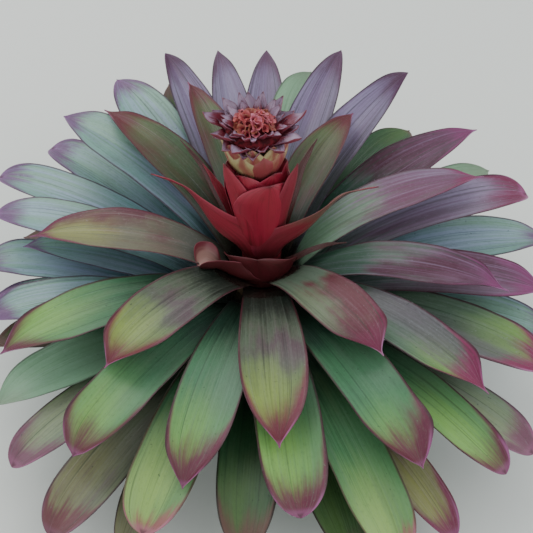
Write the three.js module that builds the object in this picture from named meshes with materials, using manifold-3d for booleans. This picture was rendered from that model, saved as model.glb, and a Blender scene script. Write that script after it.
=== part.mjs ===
// A broad-leaved bromeliad rosette in flower, in millimetres, +Z up.
// The origin is the middle of the stem's flat cut base, and the viewer's side is -Y.
// Every leaf is one closed blade. Its midrib is a curve in the upright plane through the plant's
// axis, its cross-section wraps round the stem at the root and opens into a shallow channel.
import * as THREE from "three";
import { mergeVertices } from "three/addons/utils/BufferGeometryUtils.js";
import Module from "manifold-3d";

const wasm = await Module();
wasm.setup();

// Stem that carries the leaves: a bare foot and a tapering root zone.
const stemFootHeight = 14;
const stemTopHeight = 112;
const stemFootRadius = 34;
const stemWideRadius = 38;
const stemTopRadius = 18;

// Leaves grow from the stem in one spiral of levels, the innermost at the top.
const firstRootDrop = 3;
const rootStep = 1.62;
const rootClearance = 1.5;
const leafStations = 8;
const leafColumns = 4;
const leafThickness = 1.6;
const leafTipThickness = 1.1;
const leafEdgeThickness = 0.75;
const leafTipHalfWidth = 0.9;

// Scape and flower head, which lean a little to the left.
const scapeBottom = 112.4;
const scapeTop = 230;
const scapeLean = -8;
const scaleBottom = 230.4;
const scaleBottomRadius = 11;
const scaleTop = 283;
const scaleTopRadius = 20;
const headBottom = 283.4;
const headFloor = 295;
const headRadius = 22;
const floretBottom = 295.5;
const floretTop = 309;
const floretRadius = 15;
const pieceSeed = 7;

const degrees = Math.PI / 180;

// name, direction in degrees, reach, tip height, width, pitch at the root, droop at the tip,
// and bluntness of the tip from 0 to 1. Innermost first, each one level lower on the stem.
const innerLeaves = [
  ["leaf_i2", 54, 158, 206, 64, 74, 34, 0.2],
  ["leaf_i7", 308, 182, 140, 68, 66, 34, 0.7],
  ["leaf_i1", 113, 200, 202, 60, 72, 34, 0.2],
  ["leaf_i5", 226, 208, 130, 64, 64, 34, 0.6],
  ["leaf_j5", 52, 249, 205, 64, 66, 26, 0.2],
  ["leaf_i6", 274, 230, 114, 64, 56, 34, 0.5],
  ["leaf_i3", 137, 224, 190, 62, 66, 30, 0.2],
  ["leaf_i9", 19, 238, 164, 64, 62, 30, 0.2],
  ["leaf_i4", 180, 228, 154, 62, 62, 30, 0.2],
  ["leaf_j4", 71, 262, 196, 58, 56, 26, 0.2],
  ["leaf_i8", 346, 245, 138, 64, 58, 32, 0.4],
];
const middleLeaves = [
  ["leaf_j13", 143, 260, 178, 62, 56, 28, 0.2],
  ["leaf_j8", 322, 266, 110, 64, 52, 30, 0.6],
  ["leaf_b1", 77, 234, 182, 60, 58, 26, 1],
  ["leaf_j10", 255, 270, 96, 62, 44, 30, 0.6],
  ["leaf_j3", 89, 274, 176, 56, 55, 26, 0.2],
  ["leaf_j9", 301, 280, 98, 62, 43, 30, 0.9],
  ["leaf_j12", 206, 274, 116, 64, 43, 28, 0.5],
  ["leaf_j6", 34, 272, 164, 64, 50, 26, 0.2],
  ["leaf_j11", 233, 282, 96, 62, 44, 30, 0.9],
  ["leaf_j7", 15, 280, 148, 64, 44, 28, 0.3],
  ["leaf_k11", 277, 284, 82, 66, 35, 28, 1],
  ["leaf_j2", 100, 285, 171, 54, 52, 26, 0.2],
  ["leaf_k18", 353, 283, 112, 62, 41, 26, 0.5],
  ["leaf_j1", 111, 302, 166, 56, 50, 26, 0.2],
  ["leaf_k16", 337, 294, 88, 62, 36, 26, 0.6],
  ["leaf_j14", 171, 272, 144, 60, 45, 28, 0.6],
];
const outerLeaves = [
  ["leaf_k9", 250, 308, 68, 66, 31, 28, 1],
  ["leaf_k1", 124, 284, 166, 60, 44, 24, 0.2],
  ["leaf_k19", 10, 304, 98, 64, 38, 26, 0.5],
  ["leaf_k3", 158, 296, 134, 62, 40, 26, 0.6],
  ["leaf_k14", 315, 316, 68, 54, 32, 26, 0.8],
  ["leaf_j15", 175, 242, 120, 58, 39, 28, 0.2],
  ["leaf_k12", 292, 332, 52, 62, 30, 26, 0.5],
  ["leaf_k2", 144, 280, 128, 58, 36, 26, 1],
  ["leaf_k5", 193, 272, 104, 60, 29, 28, 0.5],
  ["leaf_k21", 49, 242, 138, 60, 41, 24, 0.9],
  ["leaf_k6", 212, 294, 84, 60, 28, 26, 0.5],
  ["leaf_k17", 348, 300, 78, 60, 26, 26, 0.5],
  ["leaf_b2", 112, 280, 140, 58, 36, 24, 0.5],
  ["leaf_k7", 223, 314, 66, 58, 28, 26, 0.8],
  ["leaf_k10", 267, 312, 56, 58, 23, 26, 0.5],
  ["leaf_k4", 177, 284, 102, 60, 30, 26, 0.5],
  ["leaf_k15", 323, 318, 56, 58, 26, 26, 0.8],
  ["leaf_b3", 92, 262, 112, 60, 34, 24, 0.5],
  ["leaf_k8", 236, 338, 50, 62, 26, 26, 0.8],
  ["leaf_k20", 31, 284, 112, 58, 34, 24, 0.9],
  ["leaf_k22", 197, 278, 82, 58, 28, 26, 0.5],
  ["leaf_k13", 302, 328, 44, 50, 22, 24, 0.4],
];
const lowestLeaves = [
  ["leaf_b4", 130, 270, 94, 60, 28, 24, 0.5],
  ["leaf_l1", 247, 330, 36, 58, 20, 22, 0.5],
  ["leaf_b5", 62, 262, 88, 60, 26, 24, 0.5],
  ["leaf_l3", 182, 280, 70, 58, 22, 24, 0.5],
  ["leaf_l2", 286, 330, 34, 58, 20, 22, 0.5],
  ["leaf_b6", 160, 272, 64, 60, 20, 24, 0.5],
];

// Outline of the scape's core as pairs of radius and height.
const scapeProfile = [
  [0, scapeBottom],
  [15, scapeBottom],
  [19, 128],
  [20, 150],
  [16, 196],
  [12, scapeTop],
  [0, scapeTop],
];

// Crimson bracts on the scape: direction, turn of the root away from it, root height, reach,
// tip height, width, pitch at the root, droop at the tip, and how far along it clasps the scape.
const scapeBracts = [
  [202, 30, 118, 63, 150, 60, 40, 50, 0.8],
  [270, 0, 116, 37, 150, 64, 54, 6, 1.5],
  [90, 0, 116, 38, 160, 64, 58, 6, 1.5],
  [356, -20, 122, 84, 152, 26, 46, 14, 0.4],
  [163, 42, 126, 110, 208, 54, 52, 16, 0.6],
  [14, -42, 128, 120, 194, 50, 50, 18, 0.6],
  [268, 0, 138, 34, 260, 64, 54, -26, 1.5],
  [138, 10, 140, 106, 222, 36, 66, 12, 0.5],
  [49, -10, 142, 86, 222, 30, 70, 10, 0.5],
  [92, 0, 154, 36, 252, 62, 56, -22, 1.4],
  [174, 0, 158, 36, 252, 62, 58, -20, 1.4],
  [2, 0, 156, 36, 251, 62, 58, -20, 1.4],
  [156, 0, 150, 60, 224, 34, 66, 8, 0.7],
  [32, 0, 152, 52, 226, 30, 70, 6, 0.6],
];

// Rings of the flower head's pointed bracts: count, root radius, root height, reach,
// tip height, width, pitch at the root and droop at the tip, which is negative: they turn up.
const headRings = [
  [9, 20, 286, 48, 298, 19, 2, -34],
  [9, 20, 288, 43, 304, 18, 20, -28],
  [9, 20, 291, 36, 309, 16, 40, -18],
  [8, 18.4, 293, 28, 311, 13, 56, -6],
];

// Rings of the yellow and red scales below the head, in the same order of values.
const scaleRings = [
  [5, 10, 233, 30, 265, 31, 30, -34],
  [6, 14, 243, 35, 283, 32, 34, -34],
];

// Smooth step from 0 to 1.
function ease(value) {
  const t = Math.min(Math.max(value, 0), 1);
  return t * t * (3 - 2 * t);
}

// Radius of the stem's root zone at a height.
function stemRadius(height) {
  const k = (height - stemFootHeight) / (stemTopHeight - stemFootHeight);
  return stemWideRadius + (stemTopRadius - stemWideRadius) * k;
}

// Radius of a turned outline at a height.
function profileRadius(profile, height) {
  const next = profile.findIndex((pair) => pair[1] > height);
  const [upperRadius, upperHeight] = profile[next];
  const [lowerRadius, lowerHeight] = profile[next - 1];
  return lowerRadius + ((upperRadius - lowerRadius) * (height - lowerHeight)) / (upperHeight - lowerHeight);
}

// Half width of a blade at a share s of its length.
function bladeHalfWidth(shape, s) {
  const neck = 0.68;
  const body = neck + (1 - neck) * ease((s - 0.1) / 0.54);
  const start = 0.5 + 0.16 * shape.blunt;
  const q = Math.min(Math.max((s - start) / (1 - start), 0), 1);
  const taper = Math.pow(1 - Math.pow(q, 2.1 + shape.blunt), 1 - 0.3 * shape.blunt);
  const root = Math.min(2 * shape.rootRadius, 0.95 * shape.width);
  const k = 1 - ease(s / 0.14);
  const width = shape.width * body * taper * (1 - k) + root * k;
  return Math.max(width / 2, leafTipHalfWidth);
}

// The midrib as a curve in the plane of distance from the axis (x) and height (y).
function midribCurve(shape) {
  const start = new THREE.Vector2(shape.rootRadius, shape.rootHeight);
  const end = new THREE.Vector2(shape.reach, shape.tipHeight);
  const chord = start.distanceTo(end);
  const rise = shape.rootPitch * degrees;
  const fall = Math.atan2(end.y - start.y, end.x - start.x) - shape.droop * degrees;
  const first = new THREE.Vector2(Math.cos(rise), Math.sin(rise)).multiplyScalar(0.3 * chord).add(start);
  const second = new THREE.Vector2(Math.cos(fall), Math.sin(fall)).multiplyScalar(-0.36 * chord).add(end);
  return new THREE.CubicBezierCurve(start, first, second, end);
}

// A point of the blade's middle surface: s runs from root to tip, v from one edge to the other.
function bladePoint(shape, s, v) {
  const middle = shape.curve.getPointAt(s);
  const along = shape.curve.getTangentAt(s);
  const heading = shape.direction + shape.rootTurn * (1 - ease(s / 0.75));
  const outward = new THREE.Vector3(Math.cos(heading), Math.sin(heading), 0);
  const side = new THREE.Vector3(-Math.sin(heading), Math.cos(heading), 0);
  const tangent = outward.clone().multiplyScalar(along.x).add(new THREE.Vector3(0, 0, along.y));
  const normal = tangent.clone().cross(side);
  const half = bladeHalfWidth(shape, s);
  const wrap = 1 - ease(s / shape.wrapLength);
  const bend = Math.max(wrap / Math.max(middle.x, 5), 0.000001);
  const angle = half * v * bend;
  const across = Math.sin(angle) / bend;
  const sag = (1 - Math.cos(angle)) / bend;
  const hollow = 0.16 * ease(s / 0.5) + 0.25 * ease((s - 0.75) / 0.25);
  const lift = hollow * half * Math.pow(Math.abs(v), 1.6);
  const point = outward.clone().multiplyScalar(middle.x - sag);
  point.z = middle.y;
  return point.addScaledVector(side, across).addScaledVector(normal, lift);
}

// The unit normal of the middle surface, from its two directions.
function bladeNormal(shape, s, v) {
  const step = 0.01;
  const s0 = Math.max(s - step, 0);
  const s1 = Math.min(s + step, 1);
  const v0 = Math.max(v - step, -1);
  const v1 = Math.min(v + step, 1);
  const alongBlade = bladePoint(shape, s1, v).sub(bladePoint(shape, s0, v));
  const acrossBlade = bladePoint(shape, s, v1).sub(bladePoint(shape, s, v0));
  return alongBlade.cross(acrossBlade).normalize();
}

// A closed blade between two faces split into triangles alike.
function bladeGeometry(shape, stations, columns) {
  const positions = [];
  const index = [];
  const row = columns + 1;
  for (let face = 0; face < 2; face += 1) {
    for (let i = 0; i <= stations; i += 1) {
      const s = 1 - Math.pow(1 - i / stations, 1.25);
      for (let j = 0; j <= columns; j += 1) {
        const v = (2 * j) / columns - 1;
        const full = shape.thickness + (shape.tipThickness - shape.thickness) * s;
        const thick = full + (shape.edgeThickness - full) * Math.pow(Math.abs(v), 2.5);
        const half = face === 0 ? thick / 2 : -thick / 2;
        const point = bladePoint(shape, s, v).addScaledVector(bladeNormal(shape, s, v), half);
        positions.push(point.x, point.y, point.z);
      }
    }
  }
  const under = (stations + 1) * row;
  for (let i = 0; i < stations; i += 1) {
    for (let j = 0; j < columns; j += 1) {
      const a = i * row + j;
      const b = a + row;
      index.push(a, b, b + 1, a, b + 1, a + 1);
      index.push(under + a, under + b + 1, under + b, under + a, under + a + 1, under + b + 1);
    }
    const left = i * row;
    const right = left + columns;
    index.push(left, under + left, left + row, under + left, under + left + row, left + row);
    index.push(right, right + row, under + right, under + right, right + row, under + right + row);
  }
  const tip = stations * row;
  for (let j = 0; j < columns; j += 1) {
    index.push(j, j + 1, under + j, j + 1, under + j + 1, under + j);
    const t = tip + j;
    index.push(t, under + t, t + 1, t + 1, under + t, under + t + 1);
  }
  const geometry = new THREE.BufferGeometry();
  geometry.setAttribute("position", new THREE.Float32BufferAttribute(positions, 3));
  geometry.setIndex(index);
  return geometry;
}

// One leaf of the rosette at its level on the stem.
function leafGeometry(row, level) {
  const [, direction, reach, tipHeight, width, rootPitch, droop, blunt] = row;
  const rootHeight = stemTopHeight - firstRootDrop - rootStep * level;
  const shape = {
    direction: direction * degrees,
    reach,
    tipHeight,
    width,
    rootPitch,
    droop,
    blunt,
    rootHeight,
    rootRadius: stemRadius(rootHeight) + rootClearance,
    rootTurn: 0,
    wrapLength: 0.42,
    thickness: leafThickness,
    tipThickness: leafTipThickness,
    edgeThickness: leafEdgeThickness,
  };
  shape.curve = midribCurve(shape);
  return bladeGeometry(shape, leafStations, leafColumns);
}

// Moves points sideways with height, so that the scape and the head lean.
function lean(geometry) {
  const points = geometry.getAttribute("position");
  for (let i = 0; i < points.count; i += 1) {
    const share = Math.max(points.getZ(i) - scapeBottom, 0) / (floretTop - scapeBottom);
    points.setX(i, points.getX(i) + scapeLean * Math.pow(share, 1.5));
  }
  return geometry;
}

// A closed geometry as a solid that can be joined.
function toSolid(geometry) {
  const plain = geometry.clone();
  plain.deleteAttribute("normal");
  plain.deleteAttribute("uv");
  const merged = mergeVertices(plain, 0.001);
  const vertProperties = new Float32Array(merged.getAttribute("position").array);
  const triVerts = new Uint32Array(merged.index.array);
  return new wasm.Manifold(new wasm.Mesh({ numProp: 3, vertProperties, triVerts }));
}

// Solids joined into one geometry. Loose scraps are dropped and sealed hollows are filled.
function fuse(geometries) {
  let solid = toSolid(geometries[0]);
  for (const geometry of geometries.slice(1)) {
    solid = solid.add(toSolid(geometry));
  }
  const [largest] = solid.decompose().sort((a, b) => b.volume() - a.volume());
  const mesh = largest.simplify(0.14).getMesh();
  const joined = new THREE.BufferGeometry();
  joined.setAttribute("position", new THREE.BufferAttribute(mesh.vertProperties, 3));
  joined.setIndex(new THREE.BufferAttribute(mesh.triVerts, 1));
  return joined;
}

// A solid of revolution about the upright axis, from pairs of radius and height.
function turned(pairs, sides) {
  const profile = pairs.map(([radius, height]) => new THREE.Vector2(radius, height));
  return new THREE.LatheGeometry(profile, sides).rotateX(90 * degrees);
}

// A bract: a short blade rooted inside the piece that bears it.
function bractGeometry(values, stations, columns) {
  const shape = {
    blunt: 0.1,
    rootTurn: 0,
    thickness: 1.5,
    tipThickness: 1,
    edgeThickness: 0.8,
    ...values,
  };
  shape.curve = midribCurve(shape);
  return bladeGeometry(shape, stations, columns);
}

// Rings of bracts with a little seeded unevenness in each.
function ringGeometries(rings, wrapLength, stations, columns, random) {
  const blades = [];
  rings.forEach(([count, rootRadius, rootHeight, reach, tipHeight, width, rootPitch, droop], turn) => {
    for (let k = 0; k < count; k += 1) {
      blades.push(
        bractGeometry(
          {
            direction: ((k + 0.5 * turn + 0.24 * random()) * 2 * Math.PI) / count,
            rootRadius,
            rootHeight,
            reach: reach * (0.94 + 0.1 * random()),
            tipHeight: tipHeight - 2 + 3 * random(),
            width,
            rootPitch,
            droop,
            wrapLength,
          },
          stations,
          columns,
        ),
      );
    }
  });
  return blades;
}

// A repeatable source of numbers from 0 to 1.
function seededRandom(seed) {
  let state = seed;
  return () => {
    state = (state * 16807) % 2147483647;
    return state / 2147483647;
  };
}

const group = new THREE.Group();
const random = seededRandom(pieceSeed);

// Adds a named mesh with a material of its own.
function addMesh(name, geometry, color, roughness) {
  const material = new THREE.MeshStandardMaterial({ color, roughness, metalness: 0 });
  const mesh = new THREE.Mesh(geometry, material);
  mesh.name = name;
  group.add(mesh);
}

const stemProfile = [
  [0, 0],
  [stemFootRadius, 0],
  [stemWideRadius, stemFootHeight],
  [stemTopRadius, stemTopHeight],
  [0, stemTopHeight],
];
addMesh("stem", turned(stemProfile, 40), "#5a4a34", 0.9);

const rosette = [...innerLeaves, ...middleLeaves, ...outerLeaves, ...lowestLeaves];
rosette.forEach((row, level) => {
  addMesh(row[0], leafGeometry(row, level), "#5f7f5a", 0.45);
});

const scapePieces = [turned(scapeProfile, 18)];
for (const [direction, rootTurn, rootHeight, reach, tipHeight, width, rootPitch, droop, wrapLength] of scapeBracts) {
  scapePieces.push(
    bractGeometry(
      {
        direction: direction * degrees,
        rootTurn: rootTurn * degrees,
        rootRadius: profileRadius(scapeProfile, rootHeight) - 1,
        rootHeight,
        reach,
        tipHeight,
        width,
        rootPitch,
        droop,
        wrapLength,
      },
      5,
      4,
    ),
  );
}
addMesh("scape", lean(fuse(scapePieces)), "#9c1f2c", 0.5);

const scaleProfile = [
  [0, scaleBottom],
  [scaleBottomRadius, scaleBottom],
  [scaleTopRadius, scaleTop],
  [0, scaleTop],
];
const scalePieces = [turned(scaleProfile, 14), ...ringGeometries(scaleRings, 1.2, 3, 4, random)];
addMesh("head_scales", lean(fuse(scalePieces)), "#c98a4a", 0.5);

const headProfile = [
  [0, headBottom],
  [headRadius, headBottom],
  [headRadius, headFloor],
  [0, headFloor],
];
const headPieces = [turned(headProfile, 16), ...ringGeometries(headRings, 0.3, 3, 2, random)];
addMesh("head_bracts", lean(fuse(headPieces)), "#6b2740", 0.5);

const floretProfile = [
  [0, floretBottom],
  [floretRadius, floretBottom],
  [floretRadius * 0.85, floretTop - 6],
  [0, floretTop],
];
const floretPieces = [turned(floretProfile, 16)];
const floretCount = 26;
for (let k = 0; k < floretCount; k += 1) {
  const share = Math.sqrt((k + 0.5) / floretCount);
  const turn = k * 137.5 * degrees;
  const petal = new THREE.ConeGeometry(3.8, 9, 5).rotateX(90 * degrees).rotateY(share * 25 * degrees);
  const height = floretTop - 1 - 6 * share * share;
  petal.translate(share * (floretRadius - 3.4), 0, height).rotateZ(turn);
  floretPieces.push(petal);
}
addMesh("head_florets", lean(fuse(floretPieces)), "#b23a2e", 0.5);

export default group;
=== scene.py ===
"""A broad-leaved bromeliad rosette in flower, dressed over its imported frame.

Sizes in the classes are millimetres and angles are degrees, as a grower would measure the plant, and
every mesh is stored in metres. +Z is up, the origin is the middle of the stem's flat cut base, and the
viewer stands at -Y.
"""

import logging
import math
from dataclasses import dataclass, field, fields
from enum import Enum
from functools import partial
from typing import Iterable, Sequence

import bpy
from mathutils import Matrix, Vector


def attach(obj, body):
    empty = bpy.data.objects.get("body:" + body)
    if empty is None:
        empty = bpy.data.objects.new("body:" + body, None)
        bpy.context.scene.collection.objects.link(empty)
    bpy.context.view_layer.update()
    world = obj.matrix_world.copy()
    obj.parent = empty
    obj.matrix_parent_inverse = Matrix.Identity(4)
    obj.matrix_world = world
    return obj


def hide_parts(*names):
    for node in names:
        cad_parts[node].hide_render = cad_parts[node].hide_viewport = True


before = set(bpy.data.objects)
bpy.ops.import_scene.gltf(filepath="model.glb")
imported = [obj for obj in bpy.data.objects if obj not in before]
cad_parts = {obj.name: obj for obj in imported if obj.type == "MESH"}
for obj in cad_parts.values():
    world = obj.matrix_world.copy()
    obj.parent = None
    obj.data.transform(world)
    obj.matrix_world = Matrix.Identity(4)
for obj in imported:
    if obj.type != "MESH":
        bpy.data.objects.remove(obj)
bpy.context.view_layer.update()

log = logging.getLogger("rosette")

MILLIMETRE = 0.001
PLACE_LAYER = "UVMap"
HABIT_LAYER = "habit"
LEE_LAYER = "lee"

Colour = tuple[int, int, int]
LinearColour = tuple[float, float, float]


def ease(value: float) -> float:
    """Smooth step from 0 to 1.

    Args:
        value: Any number, clamped to 0 to 1.

    Returns:
        The eased number.
    """
    t = min(max(value, 0.0), 1.0)
    return t * t * (3.0 - 2.0 * t)


def linear(colour: Colour) -> LinearColour:
    """Turns a screen colour into the linear one that shaders take.

    Args:
        colour: Red, green and blue from 0 to 255.

    Returns:
        Red, green and blue from 0 to 1.
    """
    shares = (level / 255.0 for level in colour)
    return tuple(share / 12.92 if share <= 0.04045 else ((share + 0.055) / 1.055) ** 2.4 for share in shares)


class Draw:
    """A repeatable source of numbers from 0 to 1."""

    FACTOR = 16807
    LIMIT = 2147483647

    def __init__(self, seed: int) -> None:
        """Starts the source at a seed."""
        self.state = seed

    def next(self) -> float:
        """The next number."""
        self.state = self.state * self.FACTOR % self.LIMIT
        return self.state / self.LIMIT

    def spread(self, low: float, high: float) -> float:
        """The next number, between two limits."""
        return low + (high - low) * self.next()


class Bench:
    """The few mesh operations that every piece goes through."""

    @staticmethod
    def clear() -> None:
        """Deselects everything."""
        if bpy.context.object and bpy.context.object.mode != "OBJECT":
            bpy.ops.object.mode_set(mode="OBJECT")
        bpy.ops.object.select_all(action="DESELECT")

    @staticmethod
    def take(piece: bpy.types.Object) -> None:
        """Selects one object and makes it the active one."""
        Bench.clear()
        piece.select_set(True)
        bpy.context.view_layer.objects.active = piece

    @staticmethod
    def settle(piece: bpy.types.Object) -> None:
        """Applies an object's modifiers in their order."""
        Bench.take(piece)
        for modifier in list(piece.modifiers):
            bpy.ops.object.modifier_apply(modifier=modifier.name)

    @staticmethod
    def join(pieces: Sequence[bpy.types.Object], name: str) -> bpy.types.Object:
        """Joins objects into one and names it.

        Args:
            pieces: The objects, the first of which is kept.
            name: Name of the joined object.

        Returns:
            The joined object.
        """
        Bench.clear()
        for piece in pieces:
            piece.select_set(True)
        bpy.context.view_layer.objects.active = pieces[0]
        if len(pieces) > 1:
            bpy.ops.object.join()
        whole = bpy.context.object
        whole.name = name
        whole.data.name = name
        return whole

    @staticmethod
    def turned(
        name: str, profile: Sequence[tuple[float, float]], sides: int, finish: bpy.types.Material
    ) -> bpy.types.Object:
        """A closed solid of revolution, drawn up from a disc ring by ring.

        Args:
            name: Name of the object.
            profile: Pairs of radius and height, from the bottom up, in millimetres.
            sides: Number of sides.
            finish: Its material.

        Returns:
            The solid, with shading set smooth.
        """
        Bench.clear()
        first_radius, first_height = profile[0]
        bpy.ops.mesh.primitive_circle_add(
            vertices=sides,
            radius=first_radius * MILLIMETRE,
            fill_type="NGON",
            location=(0.0, 0.0, first_height * MILLIMETRE),
        )
        piece = bpy.context.object
        bpy.ops.object.transform_apply(location=True)
        bpy.ops.object.mode_set(mode="EDIT")
        bpy.ops.mesh.select_all(action="SELECT")
        radius, height = first_radius, first_height
        for next_radius, next_height in profile[1:]:
            rise = (next_height - height) * MILLIMETRE
            bpy.ops.mesh.extrude_region_move(TRANSFORM_OT_translate={"value": (0.0, 0.0, rise)})
            scale = next_radius / radius
            bpy.ops.transform.resize(
                value=(scale, scale, 1.0), center_override=(0.0, 0.0, next_height * MILLIMETRE)
            )
            radius, height = next_radius, next_height
        bpy.ops.mesh.select_all(action="SELECT")
        bpy.ops.mesh.fill_holes(sides=0)
        bpy.ops.mesh.select_all(action="SELECT")
        bpy.ops.mesh.normals_make_consistent(inside=False)
        bpy.ops.object.mode_set(mode="OBJECT")
        bpy.ops.object.shade_smooth()
        piece.name = name
        piece.data.materials.append(finish)
        return piece


class Value:
    """A shader socket that takes part in Python arithmetic."""

    def __init__(self, shader: "Shader", socket: bpy.types.NodeSocket) -> None:
        """Wraps an output socket of a shader."""
        self.shader = shader
        self.socket = socket

    def _math(self, operation: str, *others: "Value | float", swapped: bool = False) -> "Value":
        """Adds one Math node.

        Args:
            operation: Blender's name of the operation.
            others: The further operands.
            swapped: Whether this value is the second operand.

        Returns:
            The result.
        """
        operands = (*others, self) if swapped else (self, *others)
        return self.shader.node(
            "ShaderNodeMath", {"operation": operation}, dict(enumerate(operands)), "Value"
        )

    def __add__(self, other: "Value | float") -> "Value":
        """Sum."""
        return self._math("ADD", other)

    __radd__ = __add__

    def __sub__(self, other: "Value | float") -> "Value":
        """Difference."""
        return self._math("SUBTRACT", other)

    def __rsub__(self, other: float) -> "Value":
        """Difference from a number."""
        return self._math("SUBTRACT", other, swapped=True)

    def __mul__(self, other: "Value | float") -> "Value":
        """Product."""
        return self._math("MULTIPLY", other)

    __rmul__ = __mul__

    def __pow__(self, power: float) -> "Value":
        """Power."""
        return self._math("POWER", power)

    def __abs__(self) -> "Value":
        """Size without sign."""
        return self._math("ABSOLUTE")

    def highest(self, other: "Value | float") -> "Value":
        """The greater of two values."""
        return self._math("MAXIMUM", other)

    def ramp(self, low: float, high: float) -> "Value":
        """Smooth step that is 0 below low and 1 above high.

        Args:
            low: Where it starts.
            high: Where it is full.

        Returns:
            The step as a value.
        """
        return self.shader.node(
            "ShaderNodeMapRange",
            {"interpolation_type": "SMOOTHSTEP", "clamp": True},
            {"Value": self, "From Min": low, "From Max": high, "To Min": 0.0, "To Max": 1.0},
            "Result",
        )


class Shader:
    """One procedural material, whose colours are laid on one over the other."""

    BUMP_STRENGTH = 0.7

    def __init__(self, name: str, ground: Colour) -> None:
        """Makes an empty material with a Principled shader.

        Args:
            name: Name of the material.
            ground: The colour that the others are laid over.
        """
        self.material = bpy.data.materials.new(name)
        self.material.use_nodes = True
        self.tree = self.material.node_tree
        self.tree.nodes.clear()
        self.surface = self.tree.nodes.new("ShaderNodeBsdfPrincipled")
        output = self.tree.nodes.new("ShaderNodeOutputMaterial")
        self.tree.links.new(self.surface.outputs["BSDF"], output.inputs["Surface"])
        self.colour: "Value | Colour" = ground

    @staticmethod
    def _find(sockets: Iterable[bpy.types.NodeSocket], key: "str | int") -> bpy.types.NodeSocket:
        """Finds a socket by place, identifier or name.

        Args:
            sockets: The sockets of a node.
            key: Place, identifier or name.

        Returns:
            The socket.
        """
        listed = list(sockets)
        if isinstance(key, int):
            return listed[key]
        named = [s for s in listed if s.identifier == key] or [s for s in listed if s.name == key]
        return named[0]

    def _feed(self, socket: bpy.types.NodeSocket, value: "Value | float | Sequence[float]") -> None:
        """Links a value to a socket or sets a constant on it.

        Args:
            socket: The socket.
            value: A link, a number, a vector, or a screen colour on a colour socket.
        """
        if isinstance(value, Value):
            self.tree.links.new(value.socket, socket)
        elif socket.type == "RGBA":
            socket.default_value = (*linear(value), 1.0)
        else:
            socket.default_value = value

    def node(
        self,
        kind: str,
        settings: dict[str, object],
        inputs: "dict[str | int, Value | float | Sequence[float]]",
        output: str,
    ) -> Value:
        """Adds a node, sets it and feeds it.

        Args:
            kind: Blender's type of node.
            settings: Values of its own settings, which are set first.
            inputs: Values or links of its sockets.
            output: The socket that is handed back.

        Returns:
            That output as a value.
        """
        made = self.tree.nodes.new(kind)
        for name, value in settings.items():
            setattr(made, name, value)
        for key, value in inputs.items():
            self._feed(self._find(made.inputs, key), value)
        return Value(self, self._find(made.outputs, output))

    def mix(
        self, share: "Value | float", first: "Value | Colour", second: "Value | Colour"
    ) -> Value:
        """Mixes two colours.

        Args:
            share: How much of the second colour shows, from 0 to 1.
            first: The colour at 0.
            second: The colour at 1.

        Returns:
            The mixed colour.
        """
        return self.node(
            "ShaderNodeMix",
            {"data_type": "RGBA", "clamp_factor": True},
            {"Factor_Float": share, "A_Color": first, "B_Color": second},
            "Result_Color",
        )

    def lay(self, share: "Value | float", colour: "Value | Colour") -> None:
        """Lays a colour over the ones before it, by its share from 0 to 1."""
        self.colour = self.mix(share, self.colour, colour)

    def axes(self, vector: Value, names: str) -> tuple[Value, ...]:
        """Parts of a vector, by their letters."""
        return tuple(self.node("ShaderNodeSeparateXYZ", {}, {"Vector": vector}, name) for name in names)

    def noise(self, place: Value, detail: float, roughness: float = 0.5) -> Value:
        """Noise over a place that is already scaled.

        Args:
            place: The place.
            detail: How many finer layers the noise has.
            roughness: How strong the finer layers are.

        Returns:
            Noise from 0 to 1 about 0.5.
        """
        return self.node(
            "ShaderNodeTexNoise",
            {"noise_dimensions": "3D"},
            {"Vector": place, "Scale": 1.0, "Detail": detail, "Roughness": roughness},
            "Fac",
        )

    def object_place(self) -> Value:
        """Object coordinates in metres, for patterns that fill a piece."""
        return self.node("ShaderNodeTexCoord", {}, {}, "Object")

    def object_noise(self, scale: float, detail: float) -> Value:
        """Noise that fills a piece, by its scale per metre and its finer layers."""
        inputs = {"Vector": self.object_place(), "Scale": scale}
        place = self.node("ShaderNodeVectorMath", {"operation": "SCALE"}, inputs, "Vector")
        return self.noise(place, detail)

    def finish(
        self,
        roughness: "Value | float",
        relief: "Value | None" = None,
        depth: float = 0.0,
        constants: "dict[str, float] | None" = None,
    ) -> bpy.types.Material:
        """Feeds the Principled shader and hands the material over.

        Args:
            roughness: Roughness.
            relief: Height of the surface's relief, if it has one.
            depth: Depth of the relief in metres.
            constants: Numbers set on the shader's own sockets.

        Returns:
            The finished material.
        """
        self._feed(self.surface.inputs["Base Color"], self.colour)
        self._feed(self.surface.inputs["Roughness"], roughness)
        if relief is not None:
            inputs = {"Height": relief, "Distance": depth, "Strength": self.BUMP_STRENGTH}
            self._feed(self.surface.inputs["Normal"], self.node("ShaderNodeBump", {}, inputs, "Normal"))
        for name, value in (constants or {}).items():
            self._feed(self.surface.inputs[name], value)
        return self.material


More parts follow.
